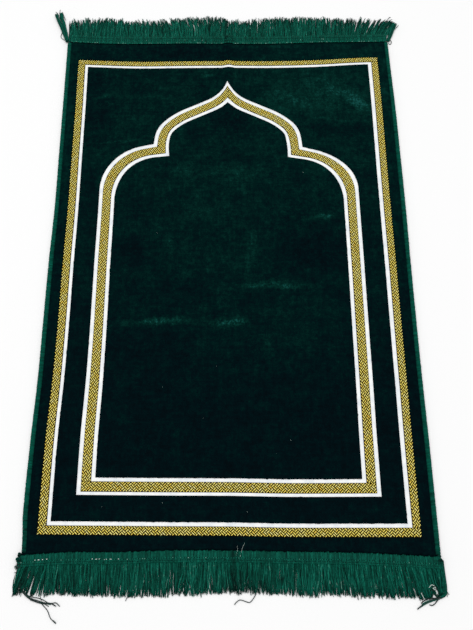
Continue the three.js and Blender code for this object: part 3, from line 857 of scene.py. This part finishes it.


# ---- fringes ----

# Along each end: tips past or short of the strand length, how far they lean to the right, how far
# the strands bow to the right on the way, and how dark they grow. A slit opens between strands
# towards their tips. leg is one leg of a heading loop: millimetres on from the head line, and height.
# The rows of stitches lie in its dips. crease is where the heading gets painted shade of the rug's middle
# fold.
FRINGES = {
    "fringe_top": {
        "end": 1, "lock_lean": 3.2, "lock_long": 2.2, "yarn_long": 2.4, "under_short": 5,
        "gather_late": 3, "drift": 3, "fibre_long": 1, "gather": (0.4, 0.95), "slit_slope": 0.25,
        "table": Table(
            "at tip lean bow dusk",
            (-350, -10, -3, 0, 0.05), (-320, -2, -1, 0, 0), (-270, 2, 0, 0, 0), (-205, -4, -2, 0, 0),
            (-130, -1, -6, 1, 0), (-75, 5, -8, 2, 0.05), (-40, 8, -2, 0, 0.1), (-12, 5, 3, 0, 0.15),
            (8, -3, 3, 0, 0.05), (60, 0, 2, 0, 0), (100, 4, 2, 0, 0), (230, 0, 3, 0, 0), (270, -3, 9, 0, 0.1),
            (300, -6, 18, 0, 0.15), (330, -8, 26, 0, 0.15), (350, -10, 24, 2, 0.1),
        ),
        "slits": Table(
            "at width start",
            (-345, 2, 40), (-330, 5, 30), (-314, 3, 40), (-262, 2, 44), (-170, 3, 44), (-131, 5, 38),
            (-116, 3, 40), (-84, 5, 36), (-66, 2, 46), (-33, 2, 40), (3, 3, 44), (52, 2, 46), (143, 3, 44),
            (188, 3, 46), (261, 3, 44), (307, 5, 34), (319, 5, 30), (349, 5, 34), (362, 3, 38),
        ),
        "crease": -3.5,
        "stitches": Table(
            "on pitch from tone size",
            (1.2, 5.1, 0, 0.8, 3), (8.8, 4.2, 0, 0.66, 2), (8.8, 4.2, 0.5, 0, 2), (13.2, 4, 0, 0.15, 3),
        ),
        "leg": (
            (19.5, 4.2), (16.2, 4.75), (13.2, 4.15), (11.3, 4.75),
            (9.4, 4.2), (6, 4.85), (2.6, 4.75), (0.4, 4.2),
        ),
    },
    "fringe_bottom": {
        "end": -1, "lock_lean": 2, "lock_long": 1.5, "yarn_long": 1.3, "under_short": 1.2,
        "gather_late": 4, "drift": 4.4, "fibre_long": 0.7, "gather": (0, 0.3), "slit_slope": -0.2,
        "table": Table(
            "at tip lean bow dusk",
            (-350, -8, -8, -4, 0.1), (-335, -6, -13, -2, 0.2), (-318, -5, -10, 0, 0.1), (-300, -3, -4, 0, 0),
            (-260, -1, -1, 0, 0), (-100, 2, 0, 0, 0), (-30, 0, 0, 0, 0), (0, -2, 0, 0, 0.25),
            (50, -2, 0, 0, 0.2), (75, -1, 0, 0, 0), (200, 0, 2, 0, 0), (260, -1, 5, 0, 0.05),
            (290, -1, 9, 0, 0.05), (315, -2, 12, 0, 0.1), (335, -5, 8, 0.8, 0.12), (350, -7, -1, 1.6, 0.15),
        ),
        "slits": Table(
            "at width start",
            (-338, 2, 46), (-310, 1.5, 44), (-226, 3, 46), (-206, 4, 44), (-182, 4, 48), (-97, 4, 44),
            (-78, 5, 44), (-35, 6, 42), (8, 3, 38), (31, 3, 46), (74, 3, 50), (118, 4, 50), (160, 3, 46),
            (196, 4, 52), (238, 3, 50), (285, 3, 54), (335, 26, 38),
        ),
        "crease": 5,
        "stitches": Table(
            "on pitch from tone size",
            (12.8, 4.2, 0, 0.68, 1.9), (12.8, 4.2, 0.5, 0, 2.1), (16.4, 3.8, 0, 0.12, 2.2),
        ),
        "leg": (
            (19.8, 4.2), (18.3, 4.7), (16.4, 4.15), (14.6, 4.75),
            (12.7, 4.2), (8, 4.85), (3.4, 4.75), (1.3, 4.2),
        ),
    },
}
YARNS, FIBRES, LOCKS = 930, 6, 150
FIBRE_RADII = (0.26, 0.40)
GLINTS = 0.004  # the share of fibres that catch the light near their tips
# Every third yarn is thick, lies lowest, hides the floor and gets painted shade. Its shares of what the
# others do.
UNDER = {"every": 3, "fibres": 3, "layer": 0.15, "drift": 0.08, "swing": 0.1, "stray": 0.4, "thick": 2.5}
UNDER_PAINTED_SHADE = 0.10
STRAND_TAPER = np.array([1.0, 1.05, 1.0, 1.0, 0.9, 0.4])
# Along each strand: painted light, lightest where it leaves the heading and darker towards its tips.
STRAND_PAINTED_LIGHT = np.array([0.12, 0.06, 0.04, 0.02, -0.04, -0.06])
# How high the topmost and the lowest fibres hang, by how far they are from the head line.
TOP_OF_STRANDS = ((14, 17, 24, 34, 50, 80), (4.6, 4.9, 4.6, 3.9, 2.7, 1.4))
FOOT_OF_STRANDS = ((14, 19, 26, 34, 80), (3.4, 2.6, 1.2, 1.0, 0.95))


def spread(count, place, margin):
    """Places along an end, each at a share of its own stretch, with a margin at both edges."""
    return margin - HALF + (BODY_WIDTH - 2 * margin) * (np.arange(count) + place) / count


def hanging_yarns(trim, rng):
    """What each yarn does on its way down. Neighbours gather into locks of uneven length."""
    root = spread(YARNS, rng.random(YARNS), 0.8)
    lock_at = spread(LOCKS, rng.uniform(0.1, 0.9, LOCKS), 2)
    lock = np.abs(root[:, None] + rng.normal(0, 1.8, (YARNS, 1)) - lock_at).argmin(axis=1)
    under = np.arange(YARNS) % UNDER["every"] == 0
    layer = (0.3 * rng.random(LOCKS)[lock] + 0.7 * rng.random(YARNS)) * np.where(under, UNDER["layer"], 1)
    lean = np.where(under, 0.0, rng.normal(0, trim["lock_lean"], LOCKS)[lock])
    gather = np.where(under, 0.0, rng.uniform(*trim["gather"], LOCKS)[lock])
    drift = rng.normal(0, trim["drift"], YARNS) * np.where(under, UNDER["drift"], 1)
    tip, end_lean, bow, dusk = (trim["table"].column(what, root) for what in ("tip", "lean", "bow", "dusk"))
    long = FRINGE["strand"] + tip + rng.normal(0, trim["lock_long"], LOCKS)[lock]
    long = long + np.minimum(rng.normal(0, trim["yarn_long"], YARNS), 5.0) - trim["under_short"] * under
    # painted shade: the lower a yarn lies among the others, the darker its tone
    tone = 0.26 + 0.26 * layer + rng.normal(0, 0.13, YARNS)
    tone = tone + rng.normal(0, 0.03, LOCKS)[lock] - UNDER_PAINTED_SHADE * under
    swing = rng.normal(0, 1.7, YARNS) * np.where(under, UNDER["swing"], 1)
    return {
        "root": root, "under": under, "layer": layer, "long": long, "tone": tone, "dusk": dusk,
        "lean": lean, "bow": bow, "drift": end_lean + drift, "gather": (lock_at[lock] - root) * gather,
        "swing": swing, "pace": rng.uniform(0.6, 1.7, YARNS), "phase": rng.random(YARNS),
    }


def slit(x, on, trim):
    """The strands' x again, with the slits open between them."""
    for at, width, first in trim["slits"].rows:
        away = x - at - trim["slit_slope"] * (on - FRINGE["strand"])
        opened = np.clip((on - first) / (FRINGE["strand"] - first), 0, 1.2)
        x = x + np.where(away < 0, -0.2, 0.2) * width * opened * np.exp(-((away / 5) ** 2))
    return x


def strands(name, trim, seed):
    """The hanging yarns, each of a few wavy fibres."""
    piece = Piece(name + "_strands", FRINGE_YARN)
    rng = np.random.default_rng(seed)
    yarns = hanging_yarns(trim, rng)
    fibres = np.where(yarns["under"], UNDER["fibres"], FIBRES)
    yarn = np.repeat(np.arange(YARNS), fibres)
    its = {what: values[yarn, None] for what, values in yarns.items()}
    count, steps = len(yarn), len(STRAND_TAPER)
    below = its["under"][:, 0]
    nth = np.arange(count) - np.repeat(np.cumsum(fibres) - fibres, fibres)
    pitch = BODY_WIDTH * UNDER["every"] / YARNS / UNDER["fibres"]
    beside = np.where(below, (nth - (UNDER["fibres"] - 1) / 2) * pitch, 0.0)
    beside = beside + rng.normal(0, 0.38, count) * np.where(below, UNDER["stray"], 1)
    s = np.linspace(0, 1, steps)
    start = FRINGE["heading"] - 3.6 + rng.uniform(0, 2.2, (count, 1))
    on = start + (its["long"] - np.abs(rng.normal(0, trim["fibre_long"], (count, 1))) - start) * s
    wave = (its["swing"] + rng.normal(0, 0.25, (count, 1))) * s**0.7
    x = (
        its["root"] + beside[:, None]
        + rng.normal(0, 0.35, (count, 1)) * s
        + its["gather"] * s ** trim["gather_late"]
        + its["drift"] * s**1.2
        + its["bow"] * np.sin(np.pi * s)
        + its["lean"] * s**1.7
        + wave * np.sin(2 * np.pi * (s * its["pace"] + its["phase"]))
    )
    x = slit(x, on, trim)
    high, low = (np.interp(on, *heights) for heights in (TOP_OF_STRANDS, FOOT_OF_STRANDS))
    z = low + np.clip(its["layer"] + rng.normal(0, 0.05, (count, 1)), 0, 1) * (high - low)
    down = np.clip((on - FRINGE["heading"]) / (FRINGE["strand"] - FRINGE["heading"]), 0, 1)
    lines = lay(np.stack([x, trim["end"] * (HEAD + on), z], axis=2), 1 - down)
    thick = rng.uniform(*FIBRE_RADII, count) * np.where(below, UNDER["thick"], 1)
    points, faces = tubes(lines, STRAND_TAPER * thick[:, None] * MM, 3)
    along = STRAND_PAINTED_LIGHT + rng.normal(0, 0.08, (count, steps)) + rng.normal(0, 0.17, (YARNS, steps))[yarn]
    along = along - its["dusk"] * s
    shade = np.clip(its["tone"] + rng.normal(0, 0.06, (count, 1)) + along, 0.0, 0.8)
    glint = rng.random(count) < GLINTS
    shade[glint, 3:5] = rng.uniform(0.8, 1.0, (glint.sum(), 1))
    piece.add(points, faces, 0, np.repeat(shade.ravel(), 3))
    return piece.make("fringe_yarn", name)


LOOP_PITCH, LOOP_RADIUS = 2.1, 0.6
STITCH_RADIUS = 0.68
TAPE_STATIONS = 141
TAPE_END = FRINGE["heading"]
# The tape's section: millimetres on from the head line, and height.
TAPE_RIM = ((1.8, 2.6), (TAPE_END - 2, 2.6), (TAPE_END, 2.8), (TAPE_END, 3.8), (2.0, 3.9))
STITCH_HEIGHT = 4.15
STITCH_ARCH = np.array([(-0.5, 0.0), (-0.28, 0.75), (0.28, 0.75), (0.5, 0.0)])
# Where the pale thread of the underside shows through the near heading's stitches.
PALE_STITCHES = (-323.5, -318.2, -316.8, -311, -304, -228.5, -222.8, -221.6, -217, -205, -198.8, -197.4, -185)


def tape(piece, end):
    """The band under the loops, seen only between them."""
    points = np.zeros((TAPE_STATIONS, len(TAPE_RIM), 3)) + [(0.0, end * (HEAD + on), z) for on, z in TAPE_RIM]
    points[..., 0] = np.linspace(-HALF, HALF, TAPE_STATIONS)[:, None]
    faces = tube_faces(TAPE_STATIONS, len(TAPE_RIM), turned=True)
    piece.add(lay(points), faces if end < 0 else [block[:, ::-1] for block in faces], 0, 0.2)


def heading(name, trim, seed):
    """The sewn heading: yarn loops packed side by side over a tape, and the rows that stitch them."""
    piece = Piece(name + "_heading", FRINGE_YARN, WHITE_THREAD)
    rng = np.random.default_rng(seed)
    end = trim["end"]
    count = int(BODY_WIDTH / LOOP_PITCH)
    leg = np.array(trim["leg"])
    legs = np.concatenate([leg, leg[::-1]])
    sides = np.repeat([-1.0, 1.0], len(leg)) * np.where(legs[:, 0] < 2, 0.3, 0.55)
    x = spread(count, 0.5, 1) + rng.normal(0, 0.15, count)
    reach = rng.normal(0.0, 0.35, count) + 0.5 * np.sin(x / 1.9 + 3 * np.sin(x / 31))
    wobble = rng.normal(0, 0.13, (count, len(legs)))
    on = legs[:, 0] - reach[:, None] * (legs[:, 0] < 3.5)
    lines = np.stack([x[:, None] + sides + wobble, end * (HEAD + on), legs[:, 1] + 0.6 * wobble], axis=2)
    points, faces = tubes(lay(lines), LOOP_RADIUS * MM, 4)
    shade = rng.normal(0.42, 0.09, count)[:, None] + rng.normal(0, 0.08, lines.shape[:2])
    # painted shade along the rug's middle fold: the loops are darker at the crease
    shade = shade - 0.3 * np.exp(-(((x - trim["crease"]) / 5) ** 2))[:, None]
    piece.add(points, faces, 0, np.repeat(np.clip(shade, 0, 0.72).ravel(), 4))
    tape(piece, end)
    for row_on, pitch, first, tone, size in trim["stitches"].rows:
        count = int(BODY_WIDTH / pitch) - 1
        x = spread(count, first, 3) + rng.normal(0, 0.25, count)
        stitch(piece, rng, x, end, row_on, size, np.clip(rng.normal(tone, 0.1, count), 0, 0.95), 0)
    if end < 0:
        x = np.array(PALE_STITCHES)
        on = np.where(x < -300, 10.4, 12.2)[:, None]
        stitch(piece, rng, x, end, on, 1.2, rng.uniform(0.1, 1.0, len(x)), 1)
    return piece.make("fringe_yarn")


def stitch(piece, rng, x, end, on, size, shade, slot):
    """Short stitches in a row, each a low arch of thread."""
    across, high = STITCH_ARCH.T
    slant = rng.normal(0, 0.25, (len(x), 1)) * across
    y = end * (HEAD + on + slant + rng.normal(0, 0.2, (len(x), 1)))
    z = np.broadcast_to(STITCH_HEIGHT + high, y.shape)
    lines = lay(np.stack([x[:, None] + across * size, y, z], axis=2))
    piece.add(*tubes(lines, STITCH_RADIUS * MM, 5), slot, np.repeat(shade, len(high) * 5))


# ---- tails ----

GREEN, DARK, PALE = range(3)
YARN_COLOURS = (TAIL_YARN, DARK_THREAD, WHITE_THREAD)
# Loose yarns at the corners. Points are (out, on, z) from a corner: out from the long edge, on from
# the head line. Each tail is a bundle of yarns round its route, split being how far they part
# towards its end, with knots (yarn coiled round a centre: radius, coils, colour, yarn radius, shade)
# and single threads (colour, radius, route).
TAILS = {
    "tail_top_left": {
        "corner": (-1, 1),
        "route": ((2.6, 2, 3), (9, 24, 3.2), (17.5, 50, 3.4), (25, 70, 3.6), (29.5, 83, 3)),
        "radii": (3, 5.4, 6.4, 6.8, 6.6), "yarns": 80, "split": 1, "green": 1, "shade": 0.33,
        "knots": (((0.5, 3, 4), 3, 8, GREEN, 0.8, 0.25),),
        "threads": (
            (DARK, 0.55, (1, 2, 3.6), (9, 7, 2), (16, 13, 0.9), (18, 19, 0.8), (15.5, 29, 1.6),
             (12, 33, 2.6)),
            (GREEN, 0.5, (27, 76, 2.6), (31, 83, 1.6), (35.5, 88, 0.8)),
            (DARK, 0.5, (11, 63, 2.6), (17, 78, 1.8), (20.5, 88, 0.8)),
            (DARK, 0.45, (25, 80, 3), (26, 90, 1.6), (24.5, 94, 0.8)),
        ),
    },
    "tail_top_right": {
        "corner": (1, 1),
        "route": ((2, 2, 2.8), (8, 18, 3), (15.5, 38, 3), (23, 57, 2.6)),
        "radii": (2.6, 4, 4.6, 4.4), "yarns": 56, "split": 0.2, "green": 1, "shade": 0.33,
        "knots": (),
        "threads": (
            (DARK, 0.6, (1, 20, 3), (6, 24, 1.8), (11, 22.5, 0.9), (12.5, 19, 0.8), (10, 15, 0.8),
             (6, 15.5, 1.6), (3, 17, 2.8)),
            (DARK, 0.6, (0, 8, 4.6), (5, 8, 3), (9, 5, 1), (10, 0.5, 0.8), (8, -4, 0.8),
             (4.5, -4.5, 1.4), (1.5, -2.5, 3.4)),
            (DARK, 0.5, (20, 36, 2.4), (26, 44, 1.2), (29.5, 49, 0.7)),
            (DARK, 0.5, (2, 56, 2.6), (7, 65, 1.6), (11, 71, 0.9), (14, 71, 0.7)),
        ),
    },
    "tail_bottom_left": {
        "corner": (-1, -1),
        "route": (
            (1.6, 5, 3.6), (1, 14, 3), (-1.5, 30, 0.6), (-4, 46, 0.6), (-10, 58, 0.6), (-26, 70, 1.4),
        ),
        "radii": (2.6, 2.4, 1.2, 1, 1.1, 1.6), "yarns": 22, "split": 0, "green": 0.3, "shade": 0.3,
        "knots": (
            ((0.8, 8, 4.4), 4.2, 14, GREEN, 0.9, 0.08),
            ((-0.5, 1, 3.8), 3.6, 8, GREEN, 0.9, 0.12),
            ((0.8, 20, 4.2), 5.4, 9, DARK, 0.42, 0.45),
        ),
        "threads": (
            (DARK, 0.6, (-9, 57, 0.6), (-20, 64.5, 1.7), (-27, 66.5, 1.5), (-36, 68, 1.3), (-45, 71, 1),
             (-52, 75, 0.8), (-57, 76, 0.7)),
            (DARK, 0.7, (-10, 58, 0.6), (-19, 66, 1.8), (-29, 70, 1.5), (-41, 73.5, 1.3), (-51, 76, 1.1),
             (-61, 76, 0.9), (-66, 75.5, 0.8), (-73, 81, 0.6)),
            (DARK, 0.8, (-8, 57.5, 0.6), (-19, 67, 1.6), (-30, 72, 1.5), (-43, 76, 1.3), (-53, 77, 1.2),
             (-59, 77, 1), (-67, 81, 0.8)),
            (DARK, 0.55, (-11, 60, 0.6), (-22, 69.5, 1), (-34, 74, 0.9), (-44, 76.5, 0.8),
             (-48, 77.5, 0.7), (-55, 81.5, 0.6)),
            (GREEN, 0.6, (-10, 60, 0.6), (-22, 69, 0.9), (-33, 73, 0.8), (-46, 76, 0.8), (-58, 78.5, 0.7)),
            (DARK, 0.62, (-24, 71, 1.4), (-36, 75, 1.2), (-43, 77, 1), (-46, 80, 0.8), (-53, 87, 0.7),
             (-57.5, 96, 0.7), (-60, 100, 0.7), (-64, 103, 0.7)),
            (DARK, 0.95, (-63.5, 102.5, 0.95), (-66, 104.5, 1), (-69, 107, 0.95)),
            (DARK, 0.4, (-42, 72, 0.8), (-40, 68, 0.7), (-39, 63, 0.9)),
            (DARK, 0.4, (1, 17, 4.6), (4, 18.5, 3.4), (8, 18, 2)),
            (DARK, 0.4, (1, 26, 4), (4, 28, 3), (7.5, 28.5, 1.6)),
            (PALE, 0.35, (3.5, 30, 3.4), (4.6, 38, 2.8), (5.4, 46, 2.4)),
        ),
    },
    "tail_bottom_right": {
        "corner": (1, -1),
        "route": (
            (0.6, 6, 3.4), (0.8, 12, 3), (2, 30, 2.2), (3, 48, 2), (1.4, 60, 1.6), (-10, 66, 1.6),
        ),
        "radii": (3, 3, 3.2, 2.8, 1.9, 1.4), "yarns": 30, "split": 0, "green": 0.9, "shade": 0.2,
        "knots": (((-2, 8, 5), 4.2, 16, GREEN, 0.9, 0.1), ((-2.4, 0, 3.6), 3.2, 8, GREEN, 0.9, 0.2)),
        "threads": (
            (DARK, 0.8, (-4, 64, 1.6), (-9, 64, 2), (-10.5, 67, 1.8), (-14, 71.5, 1.2),
             (-18.5, 75.5, 0.9), (-22, 76.5, 0.8), (-25.5, 75.5, 0.8)),
            (DARK, 0.9, (-8, 66.5, 1.6), (-17, 67, 1.6), (-26, 70.5, 1.3), (-34, 74, 1.1), (-40, 78, 1.1),
             (-46, 82.5, 1.1)),
            (GREEN, 0.8, (-8, 67, 1), (-17, 69, 1), (-26, 72, 0.9), (-34, 75.5, 0.9), (-43, 80.5, 0.9)),
            (DARK, 0.8, (-10, 65, 2), (-23, 66, 1.8), (-30, 67.5, 1.4), (-35, 70, 1.1), (-39, 73.5, 0.9)),
            (GREEN, 0.7, (-10, 66, 1.2), (-22, 68.5, 1), (-31, 71, 0.9), (-38, 75, 0.8)),
            (PALE, 0.4, (-38, 57, 3.2), (-35.5, 62, 2.2), (-33, 67, 1.4)),
            (PALE, 0.45, (-24, 49, 3.6), (-20, 45, 3.9), (-16, 46, 3.9), (-13, 49, 3.7), (-18, 50, 3.8),
             (-13, 54, 3.4), (-12, 60, 2.6)),
            (DARK, 0.45, (-22, 52, 3.4), (-18, 54, 3.5), (-12, 52, 3.7), (-14, 47, 4.2), (-19, 47.5, 4)),
        ),
    },
}
# Strays on the floor and on the pile, away from the corners: colour, radius, and route as (x, y, z)
# on the flat rug.
STRAYS = (
    (DARK, 0.55, (-165, -600, 1.6), (-168, -607, 0.8), (-171, -613, 0.6)),
    (DARK, 0.66, (43, -603, 1.6), (38, -611, 0.8), (33, -616.5, 0.6), (28, -616.5, 0.6), (22, -614.5, 0.6),
     (16, -613.5, 0.6), (11, -616.5, 0.6), (7, -621, 0.6)),
    (PALE, 0.12, (17, -546, 5.2), (19, -539, 5), (21, -531, 5.1), (25, -523, 5.1)),
    (PALE, 0.09, (10, -544, 5.2), (13, -534, 5), (12, -528, 5)),
    (DARK, 0.4, (-300, -594, 1.4), (-304, -600, 0.7), (-305, -605, 0.6)),
)
# Flecks of lint on the pile, as (x, y) on the flat rug.
LINT = (
    (-218, -465), (-189, -466), (-114, -457), (-123, -250), (-47, -308), (108, -346), (82, -369), (-143, 66),
    (-118, -46), (30, -471), (-25, -210), (150, 205), (-60, 352),
)


def corner_place(corner, points):
    """(out, on, z) away from a corner, in metres in the frame."""
    root = lay([*(corner * np.array([HALF, HEAD])), 0.0], 0.0)
    return root + np.asarray(points, float) * [*corner, 1] * MM


KNOT_TURN = np.linspace(0, 2 * np.pi * 1.15, 20)


def thread(piece, line, radius, tone, shade):
    """One yarn along a line of points in metres, thinner at its end and never under the floor."""
    radii = np.full((1, len(line)), 1.15 * radius)
    radii[0, -1] *= 0.6
    line = np.column_stack([line[:, :2], np.maximum(line[:, 2], radii[0] * MM)])
    piece.add(*tubes(line[None], radii * MM, 6), tone, shade)


def bundle(piece, spec, rng):
    """Yarns that lie together along a route, wavier and further apart towards its end."""
    steps = 5 * (len(spec["route"]) - 1) + 1
    centre = corner_place(spec["corner"], spline(spec["route"], steps))
    t = np.linspace(0, 1, steps)
    radius = np.interp(t, np.linspace(0, 1, len(spec["radii"])), spec["radii"])
    across = np.cross([0.0, 0.0, 1.0], np.gradient(centre, axis=0))
    across /= np.linalg.norm(across, axis=1, keepdims=True)
    for _ in range(spec["yarns"]):
        side, high = rng.uniform(-1, 1), rng.uniform(-1, 1)
        side = side + spec["split"] * 0.35 * np.sign(side) * t**2
        bend = side + rng.normal(0, 0.12) * np.sin(2 * np.pi * (t * rng.uniform(0.7, 1.6) + rng.random()))
        line = centre + across * (bend * radius * MM)[:, None]
        z = line[:, 2] / MM
        squash = np.sqrt(np.clip(1.1 - bend**2, 0.1, 1))
        line[:, 2] = np.maximum(z + high * squash * np.minimum(radius, z - 0.4) * 0.8, 0.5) * MM
        last = int(steps * (1 - abs(rng.normal(0, 0.07))))
        tone = GREEN if rng.random() < spec["green"] else DARK
        shade = np.clip(rng.normal(spec["shade"], 0.14), 0.02, 0.75)
        thread(piece, line[: max(last, 6)], rng.uniform(0.4, 0.62), tone, shade)


def coil(piece, corner, rng, centre, size, coils, colour, thick, dark):
    """A knot: rings of yarn that cross at odd tilts."""
    for _ in range(coils):
        radius = size * rng.uniform(0.3, 1.0)
        tilt, spin, oval = rng.uniform(-1.2, 1.2), rng.uniform(0, 2 * np.pi), rng.uniform(0.4, 0.9)
        x, y = radius * np.cos(KNOT_TURN), radius * oval * np.sin(KNOT_TURN)
        cos, sin = np.cos(spin), np.sin(spin)
        ring = np.stack([x * cos - y * sin, x * sin + y * cos, tilt * x], axis=1)
        ring += np.array(centre) + rng.normal(0, 0.22 * size, 3) * [1, 1, 0.4]
        ring[:, 2] = np.maximum(ring[:, 2], 1.2)
        tone = colour if rng.random() < 0.8 else GREEN
        shade = np.clip(rng.normal(dark, 0.12), 0, 0.8)
        thread(piece, corner_place(corner, ring), thick * rng.uniform(0.8, 1.1), tone, shade)


def tail(name, spec, seed):
    piece = Piece(name + "_yarns", *YARN_COLOURS)
    rng = np.random.default_rng(seed)
    bundle(piece, spec, rng)
    for knot in spec["knots"]:
        coil(piece, spec["corner"], rng, *knot)
    for tone, radius, *route in spec["threads"]:
        line = corner_place(spec["corner"], spline(route, 4 * len(route)))
        thread(piece, line, radius, tone, np.clip(rng.normal(0.4, 0.15), 0, 1))
    return piece.make("tail_yarn", name)


def strays():
    piece = Piece("stray_threads", *YARN_COLOURS)
    for tone, radius, *route in STRAYS:
        thread(piece, lay(spline(route, 5 * len(route)), 0.0), radius, tone, 0.5)
    rng = np.random.default_rng(71)
    for at in LINT:
        reach = np.append(rng.normal(0, 0.7, 2), 0.1)
        fleck = np.append(at, PILE_HEIGHT) + reach * np.linspace(-1, 1, 4)[:, None]
        thread(piece, lay(fleck), rng.uniform(0.09, 0.16), PALE, 0.1)
    return piece.make("tail_yarn")


# ---- stage ----

FLOOR = {"reach": 6.0, "top": -0.0004, "colour": (0.95, 0.95, 0.95, 1.0)}
SKY_STRENGTH = 0.65
LAMP = {"size": 5.0, "power": 112.0, "at": (-0.3, 0.3, 4.5)}
CAMERA = {"lens": 44.0, "film": 36.0, "at": (0.02005, -0.6433, 1.3467), "tilt": 22.132, "turn": -0.144}


def stage():
    """A pale floor, a white sky and one wide lamp overhead that faces the rug."""
    mesh = bpy.data.meshes.new("floor")
    far, top = FLOOR["reach"], FLOOR["top"]
    corners = [(-far, -far, top), (far, -far, top), (far, far, top), (-far, far, top)]
    mesh.from_pydata(corners, [], [(0, 1, 2, 3)])
    s = Surface("pale_floor", Specular_IOR_Level=0.0)
    mesh.materials.append(s.finish(FLOOR["colour"], None, 0.9))
    floor = place_object("floor", mesh)

    world = bpy.data.worlds.new("studio")
    world.use_nodes = True
    sky = world.node_tree.nodes["Background"].inputs
    sky["Color"].default_value, sky["Strength"].default_value = (1.0, 1.0, 1.0, 1.0), SKY_STRENGTH
    bpy.context.scene.world = world

    light = bpy.data.lights.new("overhead", "AREA")
    light.shape, light.size, light.size_y = "RECTANGLE", LAMP["size"], LAMP["size"]
    light.energy = LAMP["power"]
    lamp = place_object("overhead", light)
    lamp.location = LAMP["at"]
    lamp.rotation_euler = (-lamp.location).to_track_quat("-Z", "Y").to_euler()


def camera():
    data = bpy.data.cameras.new("camera")
    data.lens, data.sensor_width = CAMERA["lens"], CAMERA["film"]
    made = place_object("camera", data)
    made.location = CAMERA["at"]
    made.rotation_euler = (math.radians(CAMERA["tilt"]), 0.0, math.radians(CAMERA["turn"]))
    bpy.context.scene.camera = made
    bpy.context.scene.view_settings.view_transform = "Standard"
    bpy.context.scene.cycles.denoising_prefilter = "NONE"  # keeps the fine weave


camera()
stage()
velour = velour_panel()
parts = [edge_tufts(), border_braid(), mihrab_braid()]
parts += [binding("binding_left", -1), binding("binding_right", 1)]
for number, (fringe_name, trim) in enumerate(FRINGES.items()):
    parts.append(strands(fringe_name, trim, 51 + number))
    parts.append(heading(fringe_name, trim, 61 + number))
for number, (tail_name, spec) in enumerate(TAILS.items()):
    parts.append(tail(tail_name, spec, 71 + number))
parts.append(strays())
